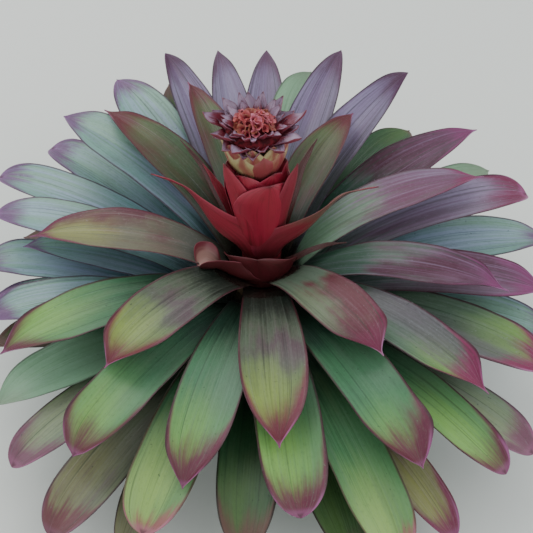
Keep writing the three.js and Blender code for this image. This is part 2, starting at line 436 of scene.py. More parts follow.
class BladeShader(Shader):
    """A material that follows a blade.

    Place across runs from 0 to 1, place along from 0 at the root to 1 at the tip, and edge from 0 on the
    midrib to 1 on the margin. Seed, flush and light are the three numbers that every blade carries.
    """

    GRAIN_ROUGHNESS = 0.55

    def __init__(self, name: str, ground: Colour) -> None:
        """Makes the material and reads where a point lies on its blade.

        Args:
            name: Name of the material.
            ground: The colour that the others are laid over.
        """
        super().__init__(name, ground)
        place = self.node("ShaderNodeUVMap", {"uv_map": PLACE_LAYER}, {}, "UV")
        self.across, self.along = self.axes(place, "XY")
        self.edge = abs(self.across * 2.0 - 1.0)
        self.seed, self.flush, self.light = self.axes(self.carried(HABIT_LAYER, "Vector"), "XYZ")

    def carried(self, name: str, output: str) -> Value:
        """A value that the blade's mesh carries at its points."""
        settings = {"attribute_name": name, "attribute_type": "GEOMETRY"}
        return self.node("ShaderNodeAttribute", settings, {}, output)

    def grain(self, first: Value, second: Value, third: "Value | float", detail: float) -> Value:
        """Noise about 0 over three coordinates.

        Args:
            first: First coordinate.
            second: Second coordinate.
            third: Third coordinate, such as a seed.
            detail: How many finer layers the noise has.

        Returns:
            Noise from -0.5 to 0.5.
        """
        place = self.node("ShaderNodeCombineXYZ", {}, {"X": first, "Y": second, "Z": third}, "Vector")
        return self.noise(place, detail, self.GRAIN_ROUGHNESS) - 0.5

    def streak(self, across: float, along: float, shift: float, detail: float) -> Value:
        """Noise about 0 that runs with the blade and differs from blade to blade.

        Args:
            across: How fine it is across the blade.
            along: How fine it is along the blade.
            shift: Sets it apart from the blade's other noises.
            detail: How many finer layers it has.

        Returns:
            Noise from -0.5 to 0.5.
        """
        seed = self.seed + shift if shift else self.seed
        return self.grain(self.across * across, self.along * along, seed, detail)


class LeafShader(BladeShader):
    """A leaf's material, with the noises that the borders of all its markings share.

    Lee is 1 on the margin of the sheltered half, which the markings partly leave in painted shade, and -1 on
    the other. Reach is the place along the leaf, ragged by streaks and clouds.
    """

    def __init__(self, name: str, ground: Colour) -> None:
        """Makes the material and its shared noises.

        Args:
            name: Name of the material.
            ground: The colour that the others are laid over.
        """
        super().__init__(name, ground)
        self.lee = (self.across * 2.0 - 1.0) * self.carried(LEE_LAYER, "Fac")
        self.vein = self.streak(15.0, 1.4, 0.0, 5.0)
        self.thread = self.streak(48.0, 2.0, 7.0, 2.0)
        self.cloud = self.streak(2.4, 4.2, 3.0, 3.0)
        self.fibre = self.streak(30.0, 0.9, 13.0, 3.0)
        self.reach = self.along + self.vein * 0.18 + self.cloud * 0.24


def coat(weight: float, roughness: float) -> dict[str, float]:
    """The shader's sockets for a thin waxy coat."""
    return {"Coat Weight": weight, "Coat Roughness": roughness}


@dataclass(frozen=True)
class LeafFinish:
    """How a leaf's upper face is coloured from its root to its tip.

    The root is black where it holds the cup's water, for its wetness and as painted shade of the cup.
    The sheltered half of a leaf keeps the colour of its middle and the open half turns to that of its far
    zone, partly the leaf's own pattern and partly painted shade and light on the two halves, and a flush
    runs down both margins from the tip.
    """

    # The root colour is partly the leaf's own dark and partly painted shade under the leaves above; it also
    # darkens the grooves and flecks.
    root: Colour
    base: Colour
    middle: Colour
    far: Colour
    flush: Colour
    blush: Colour
    # The bloom colour is the leaf's waxy bloom and also painted sheen.
    bloom: Colour
    rim: Colour
    margin: Colour
    base_start: float = 0.12
    base_full: float = 0.3
    middle_start: float = 0.3
    middle_full: float = 0.52
    far_start: float = 0.54
    far_full: float = 0.78
    flush_start: float = 0.84
    flush_full: float = 0.95
    edge_flush: float = 0.17
    band_start: float = 0.34
    band_end: float = 0.62
    band_amount: float = 0.3
    band_lee: float = 0.4
    band_fill: float = 0.75
    blush_amount: float = 0.25
    # How much bloom and painted sheen lie on the leaf in streaks.
    bloom_amount: float = 0.15
    # How far the sheltered half keeps its middle colour: partly the leaf's pattern, partly painted shade.
    shelter: float = 0.7
    # Where the wet root, painted with the shade of the cup, ends along the leaf.
    wet_end: float = 0.12
    lines: float = 0.5
    # Colour of the wet root and of painted shade in the cup.
    wet: Colour = (34, 27, 24)
    spine: Colour = (70, 34, 40)
    band_fade_in: float = 0.18
    band_fade_out: float = 0.14
    relief_depth: float = 0.001
    under_relief_depth: float = 0.0006

    def lay_zones(self, leaf: LeafShader) -> None:
        """The base, middle and far zones, darker at the root and the last of them on the open half above
        all:
        partly the leaf's own colours, partly painted shade near the root and on the sheltered half.

        Args:
            leaf: The leaf's material.
        """
        # Darker towards the root: partly the leaf's own colours, partly painted shade under the leaves
        # above.
        leaf.lay(leaf.reach.ramp(self.base_start, self.base_full), self.base)
        leaf.lay(leaf.reach.ramp(self.middle_start, self.middle_full), self.middle)
        # The far colour is held back on the sheltered half: partly the leaf's pattern, partly painted shade
        # there and painted light on the open half.
        lit_open_side = 1.0 - (leaf.lee + leaf.vein * 1.4 + leaf.cloud * 1.2).ramp(-0.35, 0.95) * self.shelter
        far = (leaf.reach + leaf.light * 0.2 - leaf.edge * 0.05).ramp(self.far_start, self.far_full)
        leaf.lay(far * lit_open_side, self.far)

    def lay_blush(self, leaf: LeafShader) -> None:
        """A blush in a band across the leaf, and in blotches beyond its root.

        Args:
            leaf: The leaf's material.
        """
        begun = (leaf.reach + leaf.cloud * 0.24).ramp(self.band_start, self.band_start + self.band_fade_in)
        ended = (leaf.reach + leaf.cloud * 0.2).ramp(self.band_end, self.band_end + self.band_fade_out)
        fill = leaf.lee * self.band_lee + leaf.cloud * 2.0 + leaf.vein * 0.6 + self.band_fill
        leaf.lay(begun * (1.0 - ended) * fill.ramp(0.1, 1.1) * self.band_amount, self.blush)
        blotch = (leaf.cloud * 2.4 + leaf.vein * 1.2 + leaf.lee * 0.12).ramp(0.05, 0.8)
        leaf.lay(blotch * leaf.reach.ramp(0.15, 0.5) * self.blush_amount, self.blush)

    def lay_bloom(self, leaf: LeafShader) -> None:
        """The dull waxy bloom that lies on the leaf in broad streaks, which also serves as painted sheen.

        Args:
            leaf: The leaf's material.
        """
        side = leaf.grain(leaf.across * 1.3 + leaf.seed, leaf.along * 1.1, 4.0, 1.0)
        sheen = (side + leaf.vein * 0.7).ramp(-0.08, 0.3) * leaf.reach.ramp(0.2, 0.45)
        # The bloom colour laid here is real bloom and painted sheen.
        leaf.lay(sheen * self.bloom_amount, self.bloom)

    def lay_flush(self, leaf: LeafShader) -> None:
        """The flush of the tip, which runs down both margins.

        Args:
            leaf: The leaf's material.
        """
        tip = leaf.along + (leaf.edge**7.0) * self.edge_flush + leaf.vein * 0.11 + leaf.thread * 0.05
        tip = tip + leaf.cloud * 0.18 + leaf.flush * 0.2 + leaf.lee * 0.03
        leaf.lay(tip.ramp(self.flush_start, self.flush_full) * 0.95, self.flush)

    def lay_lines(self, leaf: LeafShader) -> None:
        """Fine lines along the leaf: its own striations, with painted shade in the grooves and painted sheen
        on the ridges.

        Args:
            leaf: The leaf's material.
        """
        # Painted shade in the grooves, over dark striations.
        groove_shade = (leaf.vein * -1.0 + leaf.thread * -1.0 + leaf.fibre * -2.0).ramp(0.04, 0.7)
        leaf.lay(groove_shade * self.lines, self.root)
        # Painted sheen on the ridges, over pale striations.
        ridge_sheen = (leaf.vein * 0.8 + leaf.thread + leaf.fibre * 2.0).ramp(0.04, 0.7)
        leaf.lay(ridge_sheen * self.lines * 0.45, self.bloom)

    def lay_margin(self, leaf: LeafShader) -> None:
        """The paler rolled rim round the tip, and the dark line down both margins.

        Args:
            leaf: The leaf's material.
        """
        rolled = (leaf.edge + leaf.thread * 0.06 + leaf.cloud * 0.24 + leaf.lee * 0.06).ramp(0.84, 0.98)
        rolled = rolled * (leaf.along + leaf.cloud * 0.1).ramp(0.88, 0.96)
        point = leaf.along.ramp(0.962, 0.985) * 0.5
        leaf.lay(rolled.highest(point) * 0.62, self.rim)
        line = (leaf.edge + leaf.thread * 0.05 + leaf.vein * 0.04).ramp(0.9, 0.98)
        line = line * leaf.along.ramp(0.06, 0.3) * (1.0 - leaf.along.ramp(0.88, 0.96) * 0.8)
        leaf.lay(line * 0.85, self.margin)

    def lay_specks(self, leaf: LeafShader) -> None:
        """Mottle, dark flecks and pale scurf, and the brown spine at the tip.

        Args:
            leaf: The leaf's material.
        """
        mottle = leaf.streak(30.0, 62.0, 21.0, 3.0)
        leaf.lay((mottle * -2.0).ramp(0.0, 0.6) * 0.22, self.root)
        leaf.lay((mottle * 2.0).ramp(0.0, 0.6) * 0.16, self.bloom)
        leaf.lay(leaf.streak(17.0, 70.0, 11.0, 1.0).ramp(0.22, 0.3) * 0.55, self.root)
        leaf.lay(leaf.streak(26.0, 90.0, 19.0, 1.0).ramp(0.2, 0.3) * 0.3, self.bloom)
        leaf.lay(leaf.along.ramp(0.978, 0.99) * (1.0 - leaf.edge.ramp(0.2, 0.45)) * 0.6, self.spine)

    def upper(self, name: str) -> bpy.types.Material:
        """The satin upper face: zones along the leaf, streaks, blotches, bloom with painted sheen, a dark
        margin, and a root darkened for its wetness and as painted shade.

        Args:
            name: Name of the material.

        Returns:
            The material.
        """
        # The dark root colour laid under everything is partly painted shade.
        leaf = LeafShader(name, self.root)
        self.lay_zones(leaf)
        self.lay_blush(leaf)
        self.lay_bloom(leaf)
        self.lay_flush(leaf)
        self.lay_lines(leaf)
        self.lay_margin(leaf)
        self.lay_specks(leaf)
        # The root in the cup is darkened for its wetness and as painted shade of the cup.
        shore = leaf.along + leaf.cloud * 0.05 + leaf.vein * 0.03
        soaked_and_shaded = 1.0 - shore.ramp(self.wet_end - 0.03, self.wet_end + 0.02)
        leaf.lay(soaked_and_shaded * 0.92, self.wet)
        roughness = 0.4 + leaf.vein * 0.25 + leaf.cloud * 0.1 - soaked_and_shaded * 0.22
        relief = leaf.vein * 0.8 + leaf.thread * 0.35
        constants = {"Specular IOR Level": 0.4, **coat(0.03, 0.3)}
        return leaf.finish(roughness, relief, self.relief_depth, constants)

    def lower(self, name: str) -> bpy.types.Material:
        """The matter lower face, mauve with fine pale scurf.

        Args:
            name: Name of the material.

        Returns:
            The material.
        """
        leaf = BladeShader(name, self.base)
        vein = leaf.streak(20.0, 2.0, 0.0, 3.0)
        cloud = leaf.streak(2.0, 6.0, 5.0, 2.0)
        leaf.lay((leaf.along + cloud * 0.4).ramp(0.1, 0.7), self.middle)
        leaf.lay((leaf.along + vein * 0.3).ramp(0.4, 1.0) * 0.6, self.blush)
        leaf.lay((vein * 2.0 + 0.4).ramp(0.0, 1.0) * 0.6, self.bloom)
        leaf.lay(leaf.edge.ramp(0.93, 0.99) * 0.8, self.margin)
        return leaf.finish(0.55 + vein * 0.1, vein, self.under_relief_depth)


class Tone(Enum):
    """The colourings that the leaves of one rosette take by their age and place."""

    LIME = LeafFinish(
        root=(34, 50, 39), base=(44, 74, 58), middle=(66, 118, 80), far=(122, 168, 80),
        flush=(100, 12, 56), blush=(88, 64, 78), bloom=(104, 142, 116), rim=(184, 108, 164),
        margin=(58, 20, 32),
        far_start=0.48, far_full=0.84, blush_amount=0.22, band_amount=0.2, lines=0.55, flush_full=0.97,
        edge_flush=0.21, flush_start=0.83,
    )
    MOSS = LeafFinish(
        root=(34, 50, 42), base=(60, 86, 68), middle=(82, 106, 84), far=(112, 146, 76),
        flush=(128, 30, 78), blush=(96, 76, 96), bloom=(136, 146, 146), rim=(190, 116, 168),
        margin=(60, 20, 36),
        band_amount=0.6, band_start=0.3, band_end=0.9, band_lee=0.9, shelter=0.9, blush_amount=0.35,
        lines=0.6,
    )
    OLIVE_BLUSH = LeafFinish(
        root=(31, 36, 30), base=(24, 34, 26), middle=(76, 92, 68), far=(132, 152, 70),
        flush=(108, 10, 50), blush=(78, 46, 62), bloom=(124, 132, 122), rim=(200, 122, 178),
        margin=(70, 18, 34),
        band_amount=0.95, band_start=0.4, band_end=0.56, base_full=0.34, far_full=0.76, flush_start=0.8,
        shelter=0.55, wet_end=0.23, lines=0.65, flush_full=0.97, edge_flush=0.3,
    )
    ROSE = LeafFinish(
        root=(50, 61, 50), base=(98, 118, 98), middle=(112, 124, 96), far=(86, 30, 46),
        flush=(112, 26, 64), blush=(100, 22, 48), bloom=(140, 126, 132), rim=(214, 150, 200),
        margin=(80, 18, 40),
        base_start=0.08, base_full=0.2, band_amount=0.9, band_start=0.3, band_end=1.1, band_lee=0.9,
        band_fill=0.6, blush_amount=0.15, far_start=0.56, far_full=0.84, flush_start=0.8, shelter=0.2,
        wet_end=0.19, lines=0.7,
    )
    PLUM = LeafFinish(
        root=(42, 61, 50), base=(44, 80, 60), middle=(80, 98, 86), far=(110, 66, 96),
        flush=(124, 48, 98), blush=(72, 18, 44), bloom=(140, 122, 150), rim=(200, 134, 190),
        margin=(64, 16, 38),
        base_full=0.24, middle_start=0.34, middle_full=0.5, far_start=0.46, far_full=0.7,
        band_amount=0.95, band_start=0.36, band_end=0.8, band_lee=0.1, blush_amount=0.5,
        bloom_amount=0.25, shelter=0.3, lines=0.95,
    )
    FERN = LeafFinish(
        root=(85, 112, 93), base=(104, 138, 108), middle=(112, 136, 112), far=(110, 72, 98),
        flush=(122, 22, 76), blush=(102, 38, 72), bloom=(168, 158, 186), rim=(190, 112, 176),
        margin=(72, 22, 46),
        base_start=0.04, base_full=0.16, middle_start=0.24, middle_full=0.36, far_start=0.4,
        far_full=0.54, band_amount=0.6, band_start=0.4, band_end=0.96, blush_amount=0.5,
        bloom_amount=0.4, shelter=0.1, lines=0.9,
    )
    HEATHER = LeafFinish(
        root=(88, 88, 93), base=(104, 116, 112), middle=(128, 126, 136), far=(122, 98, 124),
        flush=(112, 14, 62), blush=(104, 58, 88), bloom=(164, 158, 186), rim=(190, 104, 164),
        margin=(60, 24, 44),
        far_start=0.36, far_full=0.6, band_amount=0.4, blush_amount=0.55, bloom_amount=0.55, shelter=0.3,
        flush_start=0.8, lines=1.1,
    )
    MAUVE = LeafFinish(
        root=(47, 50, 50), base=(62, 70, 68), middle=(96, 92, 102), far=(116, 96, 130),
        flush=(84, 42, 72), blush=(76, 46, 70), bloom=(146, 142, 172), rim=(104, 60, 96),
        margin=(48, 24, 42),
        far_start=0.36, far_full=0.6, band_amount=0.2, blush_amount=0.55, bloom_amount=0.45,
        flush_start=0.8, shelter=0.4, lines=1.15,
    )
    TEAL = LeafFinish(
        root=(47, 69, 72), base=(62, 90, 92), middle=(98, 146, 136), far=(132, 168, 148),
        flush=(110, 70, 112), blush=(100, 90, 112), bloom=(164, 176, 212), rim=(152, 94, 154),
        margin=(66, 40, 60),
        middle_start=0.2, middle_full=0.42, far_start=0.4, far_full=0.68, edge_flush=0.1,
        band_amount=0.35, blush_amount=0.35, bloom_amount=0.62, flush_start=0.86, shelter=0.6,
        lines=0.75,
    )
    OLIVE = LeafFinish(
        root=(42, 42, 31), base=(42, 50, 36), middle=(56, 82, 46), far=(80, 98, 54), flush=(94, 8, 32),
        blush=(84, 24, 34), bloom=(122, 116, 122), rim=(164, 88, 136), margin=(66, 16, 30),
        band_amount=0.4, band_end=0.7, blush_amount=0.75, flush_start=0.76, shelter=0.6, lines=0.85,
        edge_flush=0.24,
    )
    STRAW = LeafFinish(
        root=(80, 82, 72), base=(82, 84, 74), middle=(110, 108, 88), far=(134, 136, 74),
        flush=(112, 20, 66), blush=(92, 30, 52), bloom=(160, 152, 150), rim=(168, 100, 150),
        margin=(84, 20, 40),
        base_start=0.05, base_full=0.16, band_amount=0.95, band_start=0.36, band_end=0.92,
        far_start=0.56, far_full=0.7, blush_amount=0.35, flush_start=0.86, shelter=0.5, band_lee=-0.8,
        band_fill=0.2, lines=0.75,
    )
    DEEP = LeafFinish(
        root=(31, 44, 31), base=(28, 56, 38), middle=(42, 84, 50), far=(76, 106, 56), flush=(98, 66, 58),
        blush=(72, 70, 50), bloom=(86, 110, 88), rim=(116, 74, 72), margin=(40, 30, 26),
        bloom_amount=0.12, lines=0.6,
    )
    DUSK = LeafFinish(
        root=(58, 63, 53), base=(66, 76, 60), middle=(94, 104, 78), far=(120, 120, 84),
        flush=(104, 52, 60), blush=(92, 64, 72), bloom=(120, 122, 120), rim=(140, 92, 120),
        margin=(60, 34, 44),
        blush_amount=0.5, flush_start=0.9, lines=0.8, edge_flush=0.08,
    )
    GOLD = LeafFinish(
        root=(36, 55, 42), base=(46, 76, 54), middle=(72, 124, 80), far=(144, 176, 94),
        flush=(150, 84, 86), blush=(104, 112, 66), bloom=(110, 140, 118), rim=(190, 120, 150),
        margin=(78, 50, 44),
        far_start=0.48, far_full=0.84, edge_flush=0.08, flush_start=0.93, flush_full=1.0,
        band_amount=0.1, lines=0.55,
    )
    LILAC = LeafFinish(
        root=(53, 69, 58), base=(64, 86, 70), middle=(100, 122, 96), far=(134, 146, 110),
        flush=(116, 66, 88), blush=(104, 86, 94), bloom=(136, 142, 146), rim=(170, 98, 140),
        margin=(74, 40, 58),
        blush_amount=0.4, flush_start=0.86, lines=0.65, edge_flush=0.08,
    )
    PALE = LeafFinish(
        root=(85, 120, 93), base=(86, 120, 92), middle=(112, 152, 120), far=(128, 166, 132),
        flush=(122, 146, 118), blush=(104, 134, 102), bloom=(150, 178, 164), rim=(130, 146, 122),
        margin=(72, 84, 68),
        edge_flush=0.0, band_amount=0.1,
    )


@dataclass(frozen=True)
class BractFinish:
    """Crimson bracts of the scape, with greener or darker ones among them, and their pale lining."""

    deep: Colour = (84, 26, 28)
    crimson: Colour = (154, 33, 54)
    bright: Colour = (168, 54, 76)
    green: Colour = (96, 102, 76)
    dark: Colour = (84, 30, 38)
    maroon: Colour = (66, 34, 28)
    # The lining's dark root is painted shade towards the centre.
    lining_root: Colour = (70, 30, 28)
    lining: Colour = (164, 126, 116)
    lining_blotch: Colour = (96, 40, 38)
    lining_edge: Colour = (118, 44, 56)
    relief_depth: float = 0.0006
    lining_relief_depth: float = 0.0004

    def outer(self) -> bpy.types.Material:
        """The satin bract surface, greener or darker as each blade carries it.

        Returns:
            The material.
        """
        bract = BladeShader("crimson_bract", self.deep)
        along, edge, green, dark = bract.along, bract.edge, bract.flush, bract.light
        streak = bract.streak(16.0, 1.4, 0.0, 4.0)
        thread = bract.streak(52.0, 2.0, 5.0, 2.0)
        cloud = bract.streak(3.0, 4.0, 2.0, 3.0)
        reach = along + streak * 0.3 + cloud * 0.3
        bract.lay(reach.ramp(0.0, 0.42), self.crimson)
        bract.lay((edge + streak * 0.4 + cloud * 0.4).ramp(0.5, 1.05) * 0.55, self.bright)
        leafy = (reach + streak * 0.3).ramp(0.32, 0.5) * (1.0 - reach.ramp(0.78, 0.95))
        bract.lay(leafy * green, self.green)
        bract.lay((dark + streak * 0.3).ramp(0.0, 1.2) * 0.8, self.dark)
        bract.lay(cloud.ramp(0.04, 0.3) * 0.4, self.deep)
        bract.lay((streak * -1.8 - thread).ramp(0.0, 0.6) * 0.6, self.deep)
        bract.lay((streak * 1.6 + thread).ramp(0.1, 0.7) * 0.35, self.bright)
        bract.lay((edge + thread * 0.1).ramp(0.95, 1.0) * 0.35, self.bright)
        bract.lay(along.ramp(0.95, 1.0) * 0.7, self.dark)
        bract.lay((dark + streak * 0.5).ramp(1.0, 1.4) * 0.85, self.maroon)
        relief = streak + thread * 0.5
        return bract.finish(0.42 + streak * 0.2, relief, self.relief_depth, coat(0.08, 0.35))

    def collar(self) -> bpy.types.Material:
        """The pale inner face of a bract that curls open, darkened towards its root as painted shade.

        Returns:
            The material.
        """
        bract = BladeShader("pale_bract_lining", self.lining_root)
        streak = bract.streak(18.0, 1.6, 0.0, 3.0)
        cloud = bract.streak(3.0, 3.0, 2.0, 2.0)
        # Pale beyond the root; the dark root beneath is painted shade.
        bract.lay((bract.along + streak * 0.3).ramp(0.3, 0.85), self.lining)
        bract.lay((cloud + streak * 0.5).ramp(0.0, 0.3) * 0.5, self.lining_blotch)
        bract.lay((bract.edge + streak * 0.15).ramp(0.72, 0.98), self.lining_edge)
        return bract.finish(0.45, streak, self.lining_relief_depth, coat(0.2, 0.2))


@dataclass(frozen=True)
class ScaleFinish:
    """Yellow-green scales that are flushed with orange and red."""

    yellow: Colour = (168, 152, 108)
    orange: Colour = (146, 84, 70)
    red: Colour = (140, 48, 60)
    shade: Colour = (110, 74, 48)
    relief_depth: float = 0.0006

    def waxy(self) -> bpy.types.Material:
        """The waxy scale surface, redder as each scale carries it.

        Returns:
            The material.
        """
        scale = BladeShader("flushed_scale", self.shade)
        along, edge, seed = scale.along, scale.edge, scale.seed
        streak = scale.streak(15.0, 2.0, 0.0, 4.0)
        cloud = scale.grain(scale.across * 3.0 + seed, along * 3.0, seed, 3.0)
        scale.lay((along + cloud * 0.5).ramp(0.0, 0.4), self.yellow)
        heart = scale.flush * 1.3 - edge * 0.75 + cloud * 1.2 + streak * 0.7
        scale.lay(heart.ramp(-0.2, 0.3) * 0.9, self.orange)
        core = scale.flush * 1.2 - edge * 1.0 + cloud * 1.6 + streak * 0.7
        scale.lay(core.ramp(0.1, 0.6) * 0.8, self.red)
        scale.lay((edge + streak * 0.2).ramp(0.88, 1.0) * 0.5, self.orange)
        scale.lay((along + streak * 0.1).ramp(0.9, 1.0) * 0.6, self.red)
        scale.lay((streak * -1.5).ramp(0.05, 0.6) * 0.4, self.shade)
        return scale.finish(0.42, streak, self.relief_depth, coat(0.12, 0.3))


@dataclass(frozen=True)
class HeadFinish:
    """Maroon bracts of the head, whose inner faces are lavender."""

    maroon: Colour = (88, 24, 34)
    wine: Colour = (126, 44, 60)
    lavender: Colour = (172, 148, 174)
    dark: Colour = (56, 18, 26)
    inner_relief_depth: float = 0.0006
    outer_relief_depth: float = 0.0005

    def inner(self) -> bpy.types.Material:
        """The inner face: wine red at the root, lavender beyond, with a maroon edge and point.

        Returns:
            The material.
        """
        bract = BladeShader("head_bract_inner", self.wine)
        along = bract.along
        streak = bract.streak(9.0, 1.8, 0.0, 4.0)
        cloud = bract.streak(2.2, 2.5, 4.0, 3.0)
        silver = along + streak * 0.4 + cloud * 0.6 - bract.light * 0.5
        bract.lay(silver.ramp(0.05, 0.45), self.lavender)
        bract.lay((streak * -1.8 + cloud).ramp(0.0, 0.6) * 0.6, self.maroon)
        bract.lay((bract.edge + streak * 0.3).ramp(0.82, 1.0) * 0.6, self.maroon)
        bract.lay(along.ramp(0.86, 0.98) * 0.7, self.maroon)
        return bract.finish(0.42 + streak * 0.2, streak, self.inner_relief_depth, coat(0.08, 0.35))

    def outer(self) -> bpy.types.Material:
        """The outer face, wine red and streaked.

        Returns:
            The material.
        """
        bract = BladeShader("head_bract_outer", self.dark)
        streak = bract.streak(10.0, 1.8, 0.0, 3.0)
        bract.lay((bract.along + streak * 0.6).ramp(0.1, 0.8), self.wine)
        bract.lay((streak * 1.6 - bract.light * 0.3).ramp(0.0, 0.6) * 0.5, self.lavender)
        bract.lay((bract.edge + streak * 0.2).ramp(0.85, 1.0) * 0.5, self.lavender)
        return bract.finish(0.48, streak, self.outer_relief_depth)


@dataclass(frozen=True)
class FloretFinish:
    """Crumpled red and orange petals, and the dark flesh that carries them, partly painted shade."""

    red: Colour = (152, 42, 60)
    orange: Colour = (188, 88, 80)
    rose: Colour = (208, 124, 144)
    olive: Colour = (152, 98, 60)
    # The flesh colour is dark enough to serve as painted shade in the gaps.
    core_dark: Colour = (58, 12, 18)
    core_red: Colour = (108, 26, 36)
    petal_relief_depth: float = 0.0003
    core_relief_depth: float = 0.0006

    def petal(self) -> bpy.types.Material:
        """The petal surface: deep red in the throat and orange, rose or olive at the lip.

        Returns:
            The material.
        """
        petal = BladeShader("floret_petal", self.red)
        streak = petal.streak(6.0, 2.0, 0.0, 3.0)
        lip = petal.mix(petal.light, petal.mix(petal.flush, self.rose, self.orange), self.olive)
        petal.lay((petal.along + streak * 0.9 + petal.edge * 0.2).ramp(0.3, 1.15), lip)
        return petal.finish(0.45, streak, self.petal_relief_depth, coat(0.1, 0.3))

    def core(self) -> bpy.types.Material:
        """The dark speckled flesh between petals and under bracts, dark enough to serve as painted shade
        there.

        Returns:
            The material.
        """
        core = Shader("floret_core", self.core_dark)
        speckle = core.object_noise(260.0, 3.0)
        core.lay(speckle.ramp(0.35, 0.65), self.core_red)
        return core.finish(0.7, speckle, self.core_relief_depth, {"Specular IOR Level": 0.15})


@dataclass(frozen=True)
class StemFinish:
    """Brown stem with upright fibres, dark at its top in the cup, for its wetness and as painted shade."""

    bark: Colour = (88, 66, 44)
    pale: Colour = (142, 116, 82)
    dark: Colour = (38, 27, 20)
    # Colour of the wet top, and of painted shade in the cup.
    wet: Colour = (36, 28, 24)
    fibre_scale: tuple[float, float, float] = (260.0, 260.0, 45.0)
    # Heights in metres where the wet, painted-shade top begins.
    shore: tuple[float, float] = (0.088, 0.102)
    relief_depth: float = 0.001

    def fibrous(self) -> bpy.types.Material:
        """The fibrous bark.

        Returns:
            The material.
        """
        stem = Shader("stem_bark", self.bark)
        place = stem.object_place()
        inputs = {"Vector": place, "Scale": self.fibre_scale}
        fibre = stem.noise(stem.node("ShaderNodeMapping", {"vector_type": "POINT"}, inputs, "Vector"), 4.0)
        patch = stem.object_noise(60.0, 2.0)
        stem.lay(fibre.ramp(0.35, 0.7), self.pale)
        stem.lay(patch.ramp(0.45, 0.7) * 0.7, self.dark)
        # The top, within the cup, is darkened for its wetness and as painted shade.
        (height,) = stem.axes(place, "Z")
        soaked_and_shaded = height.ramp(*self.shore)
        stem.lay(soaked_and_shaded, self.wet)
        return stem.finish(0.85 - soaked_and_shaded * 0.6, fibre + patch * 0.5, self.relief_depth)


